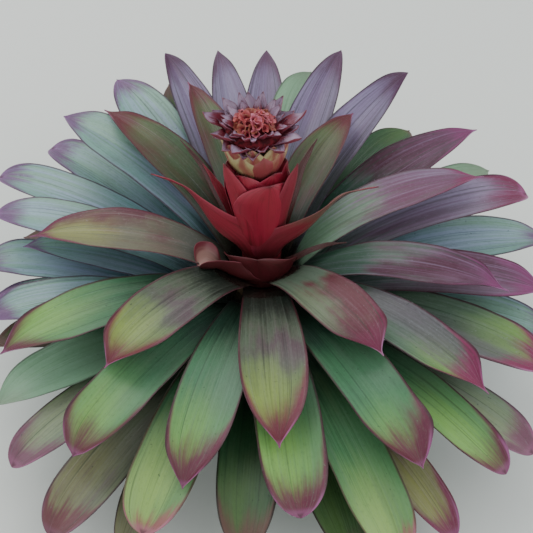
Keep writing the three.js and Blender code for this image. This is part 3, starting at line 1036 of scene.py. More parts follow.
@dataclass
class Blade:
    """A leaf, bract or scale: one curved sheet with a channelled cross-section.

    Its midrib is a curve in an upright plane through the plant's axis. The section wraps round the
    stem at the root and opens into a shallow channel. Places along it are shares of its length.
    """

    MIDRIB_STEPS = 200
    TIP_PULL = 0.36
    NECK_WIDTH = 0.68
    NECK_END = 0.1
    SWELL_LENGTH = 0.54
    TAPER_START = 0.53
    TAPER_POWER = 2.1
    BLUNT_DELAY = 0.145
    BLUNT_ROUNDING = 0.3
    ACUTE_START = 0.2
    CUSP_LENGTH = 0.11
    ROOT_LENGTH = 0.14
    ROOT_WIDTH = 0.95
    POINT_LENGTH = 0.015
    POINT_NARROWING = 0.7
    TURN_LENGTH = 0.75
    LEAN_LENGTH = 0.35
    CHANNEL_POWER = 1.6
    EDGE_HOLLOW = 0.16
    TIP_HOLLOW = 0.25
    CURL_LENGTH = 0.22
    FURROWS = (5.0, 8.3)
    FURROW_SHARE = 0.6
    RIPPLES = (19.0, 41.0)
    RIPPLE_SHARE = 0.5
    EDGE_THICKNESS = 0.45
    EDGE_THINNING = 2.5
    TIP_CROWDING = 1.3

    azimuth: float
    root_radius: float
    root_height: float
    reach: float
    tip_height: float
    width: float
    root_pitch: float
    droop: float
    bluntness: float = 0.2
    root_turn: float = 0.0
    wrap_length: float = 0.42
    thickness: float = 1.3
    tip_half_width: float = 0.9
    spine: float = 0.0
    pleat: float = 0.0
    wave: float = 0.0
    curl: float = 0.0
    curl_start: float = 0.72
    fold: float = 0.0
    acute: float = 0.0
    slim: float = 1.15
    rise: float = 0.3
    clasp: float = 1000.0
    cusp: float = 0.0
    twist: float = 0.0
    lean: float = 0.0
    seed: float = 0.0
    flush: float = 0.0
    light: float = 0.0
    lee: float = 1.0
    _table: list[tuple[float, ...]] = field(default_factory=list, repr=False)

    def __post_init__(self) -> None:
        """Lays out the midrib by its length, along a cubic curve from root to tip."""
        start = Vector((self.root_radius, self.root_height))
        end = Vector((self.reach, self.tip_height))
        chord = (end - start).length
        rise = math.radians(self.root_pitch)
        fall = math.atan2(end.y - start.y, end.x - start.x) - math.radians(self.droop)
        first = start + Vector((math.cos(rise), math.sin(rise))) * self.rise * chord
        second = end - Vector((math.cos(fall), math.sin(fall))) * self.TIP_PULL * chord
        length = 0.0
        before = start
        for i in range(self.MIDRIB_STEPS + 1):
            t = i / self.MIDRIB_STEPS
            u = 1.0 - t
            point = start * u**3 + first * 3 * u * u * t + second * 3 * u * t * t + end * t**3
            slope = (first - start) * u * u + (second - first) * 2 * u * t + (end - second) * t * t
            slope.normalize()
            length += (point - before).length
            before = point
            self._table.append((length, point.x, point.y, slope.x, slope.y))

    def midrib(self, s: float) -> tuple[float, float, float, float]:
        """Place and direction of the midrib at a share of its length.

        Args:
            s: Share of the length from root to tip.

        Returns:
            Distance from the axis, height, and the two parts of the unit direction.
        """
        target = s * self._table[-1][0]
        low, high = 0, len(self._table) - 1
        while high - low > 1:
            middle = (low + high) // 2
            if self._table[middle][0] <= target:
                low = middle
            else:
                high = middle
        a, b = self._table[low], self._table[high]
        k = (target - a[0]) / max(b[0] - a[0], 1e-9)
        x, y, dx, dy = (a[i] + (b[i] - a[i]) * k for i in range(1, 5))
        size = math.hypot(dx, dy)
        return x, y, dx / size, dy / size

    def half_width(self, s: float) -> float:
        """Half the blade's width at a share of its length.

        The blade swells from a neck, tapers to its tip, and spreads at the root to clasp the stem.

        Args:
            s: Share of the length from root to tip.

        Returns:
            Half the width.
        """
        s_body = min(s / (1.0 - self.spine), 1.0)
        swell = ease((s_body - self.NECK_END) / self.SWELL_LENGTH)
        body = self.NECK_WIDTH + (1.0 - self.NECK_WIDTH) * swell
        start = self.TAPER_START + self.BLUNT_DELAY * self.bluntness
        q = min(max((s_body - start) / (1.0 - start), 0.0), 1.0)
        taper = 1.0 - q ** (self.TAPER_POWER + self.bluntness)
        taper **= 1.0 - self.BLUNT_ROUNDING * self.bluntness
        if self.acute:
            late = min(max((s_body - self.ACUTE_START) / (1.0 - self.ACUTE_START), 0.0), 1.0)
            taper += self.acute * ((1.0 - late) ** self.slim - taper)
        taper *= 1.0 - self.cusp * ease((s_body - 1.0) / self.CUSP_LENGTH + 1.0)
        root = min(2.0 * self.root_radius, self.ROOT_WIDTH * self.width)
        rooted = 1.0 - ease(s / self.ROOT_LENGTH)
        width = self.width * body * taper * (1.0 - rooted) + root * rooted
        narrowed = self.POINT_NARROWING * ease((s - 1.0) / self.POINT_LENGTH + 1.0)
        point = self.tip_half_width * (1.0 - narrowed)
        return max(width / 2.0, point)

    def lift(self, s: float, v: float, half: float) -> float:
        """How far the sheet rises from its midrib's level.

        Args:
            s: Share of the length from root to tip.
            v: Place across, from -1 at one edge to 1 at the other.
            half: Half the width there.

        Returns:
            The rise: channel, fold, curl, pleats, twist and waves of the edge.
        """
        away = abs(v)
        hollow = self.EDGE_HOLLOW * ease(s / 0.5) + self.TIP_HOLLOW * ease((s - 0.75) / 0.25)
        lift = hollow * half * away**self.CHANNEL_POWER
        lift += self.fold * half * (math.sqrt(away * away + 0.01) - 0.1) * ease((s - 0.1) / 0.3)
        lift += self.curl * half * ease((s - self.curl_start) / self.CURL_LENGTH) * away**4
        furrow = math.cos(self.FURROWS[0] * math.pi * v + self.seed)
        furrow += self.FURROW_SHARE * math.cos(self.FURROWS[1] * math.pi * v + 2.0 * self.seed)
        lift += self.pleat * furrow * ease(s / 0.3) * (1.0 - ease((s - 0.8) / 0.2)) * (1.0 - away**3)
        lift += self.twist * half * v * ease((s - 0.5) / 0.5)
        ripple = math.sin(self.RIPPLES[0] * s + self.seed + 1.3 * (v > 0))
        ripple += self.RIPPLE_SHARE * math.sin(self.RIPPLES[1] * s + 2.0 * self.seed)
        return lift + self.wave * ripple * away**3 * ease(s / 0.4)

    def point(self, s: float, v: float) -> Vector:
        """A point of the sheet in metres.

        Args:
            s: Share of the length from root to tip.
            v: Place across, from -1 at one edge to 1 at the other.

        Returns:
            The point.
        """
        x, y, dx, dy = self.midrib(s)
        turned = self.root_turn * (1.0 - ease(s / self.TURN_LENGTH))
        heading = math.radians(self.azimuth + turned)
        outward = Vector((math.cos(heading), math.sin(heading), 0.0))
        side = Vector((-math.sin(heading), math.cos(heading), 0.0))
        tangent = outward * dx + Vector((0.0, 0.0, dy))
        normal = tangent.cross(side)
        half = self.half_width(s)
        wrap = 1.0 - ease(s / self.wrap_length)
        bend = max(wrap / min(max(x, 5.0), self.clasp), 1e-6)
        angle = half * v * bend
        across = math.sin(angle) / bend
        sag = (1.0 - math.cos(angle)) / bend
        lift = self.lift(s, v, half)
        lean = math.radians(self.lean) * ease(s / self.LEAN_LENGTH)
        across, lift = (
            across * math.cos(lean) - lift * math.sin(lean),
            across * math.sin(lean) + lift * math.cos(lean),
        )
        place = outward * (x - sag) + side * across + normal * lift
        place.z += y
        return place * MILLIMETRE

    def make(
        self, name: str, stations: int, columns: int, finishes: Sequence[bpy.types.Material]
    ) -> bpy.types.Object:
        """Models the blade from a grid that is laid along the sheet and given its thickness.

        Args:
            name: Name of the object.
            stations: Number of faces along the blade.
            columns: Number of faces across it.
            finishes: Upper material, and a lower one if it differs.

        Returns:
            The blade as a closed, smooth object.
        """
        Bench.clear()
        bpy.ops.mesh.primitive_grid_add(x_subdivisions=columns, y_subdivisions=stations, size=2.0)
        piece = bpy.context.object
        piece.name = name
        mesh = piece.data
        places = []
        for vertex in mesh.vertices:
            s = 1.0 - (1.0 - (vertex.co.y + 1.0) / 2.0) ** self.TIP_CROWDING
            places.append((s, -vertex.co.x))
        for vertex, (s, v) in zip(mesh.vertices, places):
            vertex.co = self.point(s, v)
        layer = mesh.uv_layers[0]
        layer.name = PLACE_LAYER
        for loop in mesh.loops:
            s, v = places[loop.vertex_index]
            layer.data[loop.index].uv = ((v + 1.0) / 2.0, s)
        body = piece.vertex_groups.new(name="body")
        for index, (_, v) in enumerate(places):
            body.add([index], 1.0 - abs(v) ** self.EDGE_THINNING, "REPLACE")
        for finish in finishes:
            mesh.materials.append(finish)
        solid = piece.modifiers.new("thickness", "SOLIDIFY")
        solid.thickness = self.thickness * MILLIMETRE
        solid.offset = 0.0
        solid.vertex_group = body.name
        solid.thickness_vertex_group = self.EDGE_THICKNESS
        solid.material_offset = len(finishes) - 1
        smooth = piece.modifiers.new("smooth", "SUBSURF")
        smooth.levels = 1
        smooth.render_levels = 1
        Bench.settle(piece)
        bpy.ops.object.shade_smooth()
        piece.vertex_groups.clear()
        habit = piece.data.attributes.new(HABIT_LAYER, "FLOAT_VECTOR", "POINT")
        for entry in habit.data:
            entry.vector = (self.seed, self.flush, self.light)
        lee = piece.data.attributes.new(LEE_LAYER, "FLOAT", "POINT")
        for entry in lee.data:
            entry.value = self.lee
        return piece


def shared_sizes(plan: "LeafPlan | BractPlan") -> dict[str, float]:
    """The sizes of a plan that a blade has under the same names."""
    names = {entry.name for entry in fields(Blade)}
    return {entry.name: getattr(plan, entry.name) for entry in fields(plan) if entry.name in names}


@dataclass(frozen=True)
class LeafPlan:
    """One leaf of the rosette, by its place, its form and its colouring.

    The root pitch is the midrib's angle above the floor at the root, and the droop is how far the tip
    points below the line from root to tip.
    """

    key: str
    azimuth: float
    reach: float
    tip_height: float
    width: float
    root_pitch: float
    droop: float
    bluntness: float
    tone: Tone
    flush: float = 0.0
    light: float = 0.0
    curl: float = 0.0
    pleat: float = 0.12
    fold: float = 0.0
    acute: float = 0.0
    cusp: float = 0.15


@dataclass
class Stem:
    """The short upright stem, ringed with the scars of its leaf levels."""

    foot_height: float = 14.0
    top_height: float = 112.0
    foot_radius: float = 34.0
    wide_radius: float = 38.0
    top_radius: float = 18.0
    ring_step: float = 4.86
    ring_depth: float = 0.35
    ring_width: float = 1.0
    foot_round: float = 3.0
    top_round: float = 0.8
    sides: int = 64

    def radius(self, height: float) -> float:
        """Radius of the root zone at a height."""
        k = (height - self.foot_height) / (self.top_height - self.foot_height)
        return self.wide_radius + (self.top_radius - self.wide_radius) * k

    def profile(self) -> list[tuple[float, float]]:
        """Outline of the stem with its shallow rings.

        Returns:
            Pairs of radius and height.
        """
        pairs = [
            (self.foot_radius, 0.0),
            (self.foot_radius + 1.0, self.foot_round),
            (self.wide_radius, self.foot_height),
        ]
        height = self.foot_height + self.ring_step
        while height < self.top_height - 2.0 * self.ring_width:
            scar = height + self.ring_width
            pairs.append((self.radius(height), height))
            pairs.append((self.radius(scar) - self.ring_depth, scar))
            height += self.ring_step
        pairs.append((self.top_radius, self.top_height - self.top_round))
        pairs.append((self.top_radius - 1.0, self.top_height))
        return pairs

    def build(self) -> bpy.types.Object:
        """Models and dresses the stem.

        Returns:
            The stem.
        """
        piece = Bench.turned("stem_ringed", self.profile(), self.sides, StemFinish().fibrous())
        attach(piece, "root")
        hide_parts("stem")
        return piece


@dataclass
class Rosette:
    """All leaves, from the innermost level of the stem down to the lowest."""

    stem: Stem
    first_root_drop: float = 3.0
    root_step: float = 1.62
    root_clearance: float = 1.5
    spine_share: float = 0.05
    lee_from: float = 95.0
    lee_to: float = 325.0
    stations: int = 40
    columns: int = 12
    draw_seed: int = 23
    inner: tuple[LeafPlan, ...] = (
        LeafPlan(
            "i2", 54, 158, 206, 54, 74, 34, 0.2, Tone.OLIVE, flush=0.1, fold=0.16, acute=0.25, cusp=0.2
        ),
        LeafPlan("i7", 308, 182, 140, 60, 66, 34, 0.7, Tone.ROSE, flush=0.1, curl=0.35, cusp=0.5),
        LeafPlan("i1", 113, 200, 202, 50, 72, 34, 0.2, Tone.OLIVE, flush=0.1, fold=0.3, acute=0.4, cusp=0.3),
        LeafPlan(
            "i5", 226, 208, 130, 64, 64, 34, 0.7, Tone.OLIVE_BLUSH,
            flush=0.15, curl=0.25, fold=0.08, cusp=0.4,
        ),
        LeafPlan("j5", 52, 249, 205, 64, 66, 26, 0.3, Tone.MAUVE, curl=0.35, fold=0.2, cusp=0, acute=0.42),
        LeafPlan("i6", 274, 230, 114, 64, 56, 34, 0.6, Tone.OLIVE_BLUSH, flush=0.2, curl=0.2, cusp=0.3),
        LeafPlan("i3", 137, 224, 190, 56, 66, 30, 0.2, Tone.OLIVE, flush=0.2, fold=0.2, acute=0.2, cusp=0.3),
        LeafPlan("i9", 19, 238, 164, 57, 62, 30, 0.3, Tone.FERN, pleat=0.35, fold=0.1, cusp=0.45, acute=0.2),
        LeafPlan("i4", 180, 228, 154, 60, 62, 30, 0.2, Tone.STRAW, fold=0.1, cusp=0.45),
        LeafPlan("j4", 71, 262, 196, 58, 56, 26, 0.2, Tone.MAUVE, curl=0.1, fold=0.22, cusp=0, acute=0.35),
        LeafPlan("i8", 346, 245, 138, 54, 58, 32, 0.4, Tone.PLUM, curl=0.3, fold=0.08, cusp=0.5),
    )
    middle: tuple[LeafPlan, ...] = (
        LeafPlan("j13", 143, 260, 178, 62, 56, 28, 0.5, Tone.TEAL, pleat=0.35, fold=0.12),
        LeafPlan(
            "j8", 322, 266, 110, 56, 52, 30, 0.8, Tone.MOSS,
            flush=0.15, light=-0.3, curl=0.35, fold=0.06, cusp=0.5,
        ),
        LeafPlan("b1", 77, 234, 182, 60, 58, 26, 1.0, Tone.PALE),
        LeafPlan(
            "j10", 255, 270, 96, 60, 44, 30, 0.9, Tone.LIME, flush=0.2, curl=0.25, light=-0.2, cusp=0.25
        ),
        LeafPlan("j3", 89, 274, 176, 56, 55, 26, 0.2, Tone.MAUVE, fold=0.15, cusp=0, acute=0.35),
        LeafPlan(
            "j9", 301, 280, 98, 60, 43, 30, 1.35, Tone.LIME, flush=0.2, curl=0.25, light=-0.6, cusp=0.3
        ),
        LeafPlan("j12", 206, 274, 116, 60, 43, 28, 0.7, Tone.LIME, curl=0.1, fold=0.06, cusp=0.3),
        LeafPlan(
            "j6", 34, 272, 164, 64, 50, 26, 0.2, Tone.PLUM,
            flush=0.1, pleat=0.35, fold=0.15, cusp=0.2, acute=0.2,
        ),
        LeafPlan(
            "j11", 233, 282, 96, 60, 44, 30, 1.4, Tone.LIME, curl=0.25, fold=0.06, cusp=0.15, light=-0.35
        ),
        LeafPlan("j7", 15, 280, 144, 53, 44, 28, 1.4, Tone.HEATHER, pleat=0.35, fold=0.1, cusp=0),
        LeafPlan("k11", 277, 284, 82, 62, 35, 28, 1.3, Tone.LIME, light=0.2, cusp=0),
        LeafPlan("j2", 100, 285, 171, 54, 52, 26, 0.2, Tone.MAUVE, curl=0.1, fold=0.18, cusp=0, acute=0.35),
        LeafPlan("k18", 353, 283, 112, 62, 41, 26, 0.8, Tone.PLUM, flush=0.1, light=0.3, cusp=0.3),
        LeafPlan("j1", 111, 302, 166, 56, 50, 26, 0.2, Tone.MAUVE, curl=0.3, fold=0.35, cusp=0, acute=0.35),
        LeafPlan("k16", 337, 294, 88, 62, 36, 26, 1.2, Tone.MOSS, light=-0.1, fold=0.08, cusp=0),
        LeafPlan("j14", 171, 272, 144, 52, 45, 28, 1.0, Tone.TEAL, cusp=0),
    )
    outer: tuple[LeafPlan, ...] = (
        LeafPlan("k9", 250, 308, 68, 62, 31, 28, 1.4, Tone.GOLD, cusp=0),
        LeafPlan("k1", 124, 284, 166, 60, 44, 24, 0.8, Tone.TEAL, light=0.2),
        LeafPlan("k19", 10, 304, 98, 64, 38, 26, 0.5, Tone.TEAL),
        LeafPlan("k3", 158, 296, 134, 49, 40, 26, 1.3, Tone.TEAL, pleat=0.3, fold=0.1, cusp=0),
        LeafPlan("k14", 315, 316, 68, 48, 32, 26, 1.3, Tone.LIME, light=0.2, flush=-0.1, fold=0.06, cusp=0),
        LeafPlan("j15", 175, 242, 120, 58, 39, 28, 0.2, Tone.TEAL, light=-0.2, fold=0.08),
        LeafPlan("k12", 292, 332, 52, 58, 30, 26, 1.2, Tone.GOLD, light=-0.5, cusp=0),
        LeafPlan("k2", 144, 280, 128, 48, 36, 26, 1.4, Tone.TEAL, cusp=0),
        LeafPlan("k5", 193, 272, 104, 54, 29, 28, 1.2, Tone.TEAL, fold=0.08, cusp=0),
        LeafPlan("k21", 49, 242, 138, 60, 41, 24, 0.9, Tone.DEEP, flush=-0.6, light=-1.2),
        LeafPlan("k6", 212, 294, 84, 60, 28, 26, 0.8, Tone.PALE, light=-0.3, flush=-0.2),
        LeafPlan("k17", 348, 300, 78, 60, 26, 26, 0.5, Tone.TEAL, fold=0.08),
        LeafPlan("b2", 112, 280, 140, 58, 36, 24, 0.5, Tone.DEEP),
        LeafPlan("k7", 223, 314, 66, 48, 28, 26, 1.4, Tone.LILAC, cusp=0),
        LeafPlan("k10", 267, 312, 56, 58, 23, 26, 0.9, Tone.DEEP),
        LeafPlan("k4", 177, 284, 102, 54, 30, 26, 1.2, Tone.TEAL, pleat=0.3, fold=0.08, cusp=0),
        LeafPlan("k15", 323, 318, 56, 52, 26, 26, 1.3, Tone.LILAC, cusp=0),
        LeafPlan("b3", 92, 262, 112, 60, 34, 24, 0.5, Tone.DEEP),
        LeafPlan("k8", 236, 338, 50, 58, 26, 26, 1.3, Tone.DUSK, cusp=0),
        LeafPlan("k20", 31, 284, 112, 58, 34, 24, 0.9, Tone.PALE),
        LeafPlan("k22", 197, 278, 82, 58, 28, 26, 0.5, Tone.DEEP),
        LeafPlan("k13", 302, 328, 44, 44, 22, 24, 1.2, Tone.STRAW, light=-0.2, cusp=0),
    )
    lowest: tuple[LeafPlan, ...] = (
        LeafPlan("b4", 130, 270, 94, 60, 28, 24, 0.5, Tone.DEEP),
        LeafPlan("l1", 247, 330, 36, 58, 20, 22, 0.5, Tone.DUSK),
        LeafPlan("b5", 62, 262, 88, 60, 26, 24, 0.5, Tone.DEEP),
        LeafPlan("l3", 182, 280, 70, 58, 22, 24, 0.5, Tone.TEAL, flush=0.4),
        LeafPlan("l2", 286, 330, 34, 58, 20, 22, 0.5, Tone.DEEP, light=0.2),
        LeafPlan("b6", 160, 272, 64, 60, 20, 24, 0.5, Tone.DEEP),
    )

    def blade(self, plan: LeafPlan, level: int, draw: Draw) -> Blade:
        """The sheet of one leaf.

        Args:
            plan: The leaf.
            level: Its level on the stem, from 0 at the top.
            draw: Source of the small natural differences.

        Returns:
            The blade.
        """
        root_height = self.stem.top_height - self.first_root_drop - self.root_step * level
        sizes = shared_sizes(plan)
        sizes["root_height"] = root_height
        sizes["root_radius"] = self.stem.radius(root_height) + self.root_clearance
        sizes["spine"] = self.spine_share * plan.cusp
        sizes["wave"] = draw.spread(0.3, 0.8)
        sizes["seed"] = draw.spread(0.0, 40.0)
        sizes["flush"] += draw.spread(-0.06, 0.06)
        sizes["light"] += draw.spread(-0.1, 0.1)
        sizes["lee"] = 1.0 if self.lee_from < plan.azimuth < self.lee_to else -1.0
        return Blade(**sizes)

    def build(self) -> list[bpy.types.Object]:
        """Models and dresses every leaf.

        Returns:
            The leaves.
        """
        draw = Draw(self.draw_seed)
        finishes = {}
        for tone in Tone:
            name = f"leaf_{tone.name.lower()}"
            finishes[tone] = (tone.value.upper(name), tone.value.lower(f"{name}_under"))
        tiers = {
            "leaf_inner": self.inner,
            "leaf_middle": self.middle,
            "leaf_outer": self.outer,
            "leaf_lowest": self.lowest,
        }
        leaves = []
        for slot, plans in tiers.items():
            for plan in plans:
                blade = self.blade(plan, len(leaves), draw)
                piece = blade.make(f"blade_{plan.key}", self.stations, self.columns, finishes[plan.tone])
                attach(piece, "root")
                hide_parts(f"leaf_{plan.key}")
                leaves.append(piece)
        return leaves


@dataclass
class FlowerStalk:
    """What the scape and the flower head share: their lean and their place in the frame."""

    lean: float = -8.0
    lean_start: float = 112.4
    lean_end: float = 309.0
    lean_power: float = 1.5

    def tilt(self, piece: bpy.types.Object) -> None:
        """Moves a piece's points sideways with their height.

        Args:
            piece: The piece.
        """
        for vertex in piece.data.vertices:
            share = (vertex.co.z / MILLIMETRE - self.lean_start) / (self.lean_end - self.lean_start)
            vertex.co.x += self.lean * MILLIMETRE * max(share, 0.0) ** self.lean_power

    def mount(self, pieces: Sequence[bpy.types.Object], name: str, node: str, slot: str) -> bpy.types.Object:
        """Joins the parts of one piece, leans it and puts it in its node's place.

        Args:
            pieces: The parts.
            name: Name of the piece.
            node: The node that it stands for.
            slot: Not used.

        Returns:
            The piece.
        """
        whole = Bench.join(pieces, name)
        self.tilt(whole)
        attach(whole, "root")
        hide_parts(node)
        return whole


@dataclass(frozen=True)
class BractPlan:
    """One bract of the scape or scale of the head, placed and formed as a leaf is.

    Green and dark are how far it turns from crimson, and lean tips it sideways about its midrib.
    """

    azimuth: float
    root_turn: float
    root_height: float
    reach: float
    tip_height: float
    width: float
    root_pitch: float
    droop: float
    wrap_length: float
    acute: float = 0.0
    green: float = 0.0
    dark: float = 0.0
    curl: float = 0.0
    fold: float = 0.0
    blunt: float = 0.1
    root_radius: float = 0.0
    slim: float = 1.15
    rise: float = 0.3
    lean: float = 0.0
    curl_start: float = 0.3
    wave: float = 0.4
    pleat: float = 0.25
    tip_half_width: float = 0.5
    clasp_margin: float = 3.0

    def blade(self, root_radius: float, seed: float, thickness: float = 1.3) -> Blade:
        """The bract's sheet.

        Args:
            root_radius: Distance of its root from the axis.
            seed: Where its pattern starts.
            thickness: Thickness of the sheet.

        Returns:
            The blade.
        """
        sizes = shared_sizes(self)
        sizes["root_radius"] = root_radius
        sizes["clasp"] = root_radius + self.clasp_margin
        sizes["bluntness"] = self.blunt
        sizes["thickness"] = thickness
        sizes["seed"] = seed
        sizes["flush"] = self.green
        sizes["light"] = self.dark
        return Blade(**sizes)


# Kinds of bract whose plans repeat some of their sizes
long_bract = partial(BractPlan, wrap_length=0.8, acute=0.95, slim=2.0, rise=0.42)
head_bract = partial(BractPlan, wrap_length=0.5, root_radius=19)
heart_bract = partial(BractPlan, wrap_length=0.4, root_radius=15)


@dataclass
class Scape:
    """The flowering stalk, wrapped in crimson bracts."""

    stalk: FlowerStalk
    profile: tuple[tuple[float, float], ...] = (
        (15, 112.4), (19, 128), (21, 150), (24, 196), (25, 227), (17, 236),
    )
    bracts: tuple[BractPlan, ...] = (
        BractPlan(265, 0, 112, 40, 162, 114, 84, 0, 1.5, dark=1.2, acute=0.6, slim=0.9, root_radius=29),
        BractPlan(90, 0, 116, 38, 160, 64, 58, 6, 1.5, dark=1.4),
        BractPlan(356, -20, 122, 84, 152, 16, 46, 14, 0.4, dark=1.6, acute=0.8, slim=1.4),
        long_bract(163, 64, 138, 110, 208, 94, 78, 30, dark=0.35, lean=50.0),
        long_bract(14, -62, 140, 120, 194, 84, 76, 30, green=0.7, dark=0.6, lean=-40.0),
        BractPlan(289, 0, 146, 38, 253, 68, 86, -6, 1.5, blunt=0.5),
        *(
            BractPlan(turn, 0, 190, 29, 257, 56, 86, -8, 1.5, dark=dark)
            for turn, dark in ((248, 0.0), (304, 0.0), (352, 0.4), (196, 0.4))
        ),
        BractPlan(232, 0, 144, 30, 252, 56, 86, -12, 1.5, dark=0.1),
        BractPlan(212, 0, 148, 34, 264, 60, 84, -4, 1.5, dark=0.2),
        BractPlan(334, 0, 150, 43, 266, 44, 84, -4, 1.5, dark=0.6),
        BractPlan(92, 0, 154, 30, 244, 60, 74, -12, 1.4, dark=0.4),
        BractPlan(40, 0, 156, 31, 246, 56, 74, -12, 1.4, dark=0.4),
        BractPlan(146, 0, 156, 31, 246, 56, 74, -12, 1.4, dark=0.4),
        BractPlan(138, 20, 140, 104, 220, 15, 66, 12, 0.5, dark=1.5, acute=0.7, fold=0.2),
        BractPlan(49, -20, 142, 88, 224, 17, 70, 10, 0.5, dark=1.6, acute=0.7, fold=0.2),
        BractPlan(160, 0, 150, 56, 232, 22, 70, 8, 0.7, dark=0.5, acute=0.7),
    )
    collar: BractPlan = BractPlan(
        203, 42, 118, 67, 137, 46, 42, 40, 1.1, dark=1.25, curl=0.5, blunt=1.0, lean=15.0, root_radius=27
    )
    sides: int = 32
    bract_faces: tuple[int, int] = (26, 12)
    collar_faces: tuple[int, int] = (30, 14)
    draw_seed: int = 5

    def radius(self, height: float) -> float:
        """Radius of the core at a height.

        Args:
            height: The height.

        Returns:
            The radius.
        """
        for (low_radius, low), (high_radius, high) in zip(self.profile, self.profile[1:]):
            if height <= high:
                return low_radius + (high_radius - low_radius) * (height - low) / (high - low)
        return self.profile[-1][0]

    def build(self) -> bpy.types.Object:
        """Models and dresses the scape with its bracts.

        Returns:
            The scape.
        """
        finish = BractFinish()
        crimson = finish.outer()
        draw = Draw(self.draw_seed)
        # The core wears the dark flesh, which reads as painted shade between the bracts.
        parts = [Bench.turned("scape_core", self.profile, self.sides, FloretFinish().core())]
        for number, plan in enumerate(self.bracts):
            root_radius = plan.root_radius or self.radius(plan.root_height) - 1.0
            blade = plan.blade(root_radius, draw.spread(0.0, 30.0))
            parts.append(blade.make(f"bract_{number}", *self.bract_faces, (crimson,)))
        collar = self.collar.blade(self.collar.root_radius, draw.spread(0.0, 30.0))
        parts.append(collar.make("bract_collar", *self.collar_faces, (finish.collar(), crimson)))
        return self.stalk.mount(parts, "scape_in_bracts", "scape", "scape")


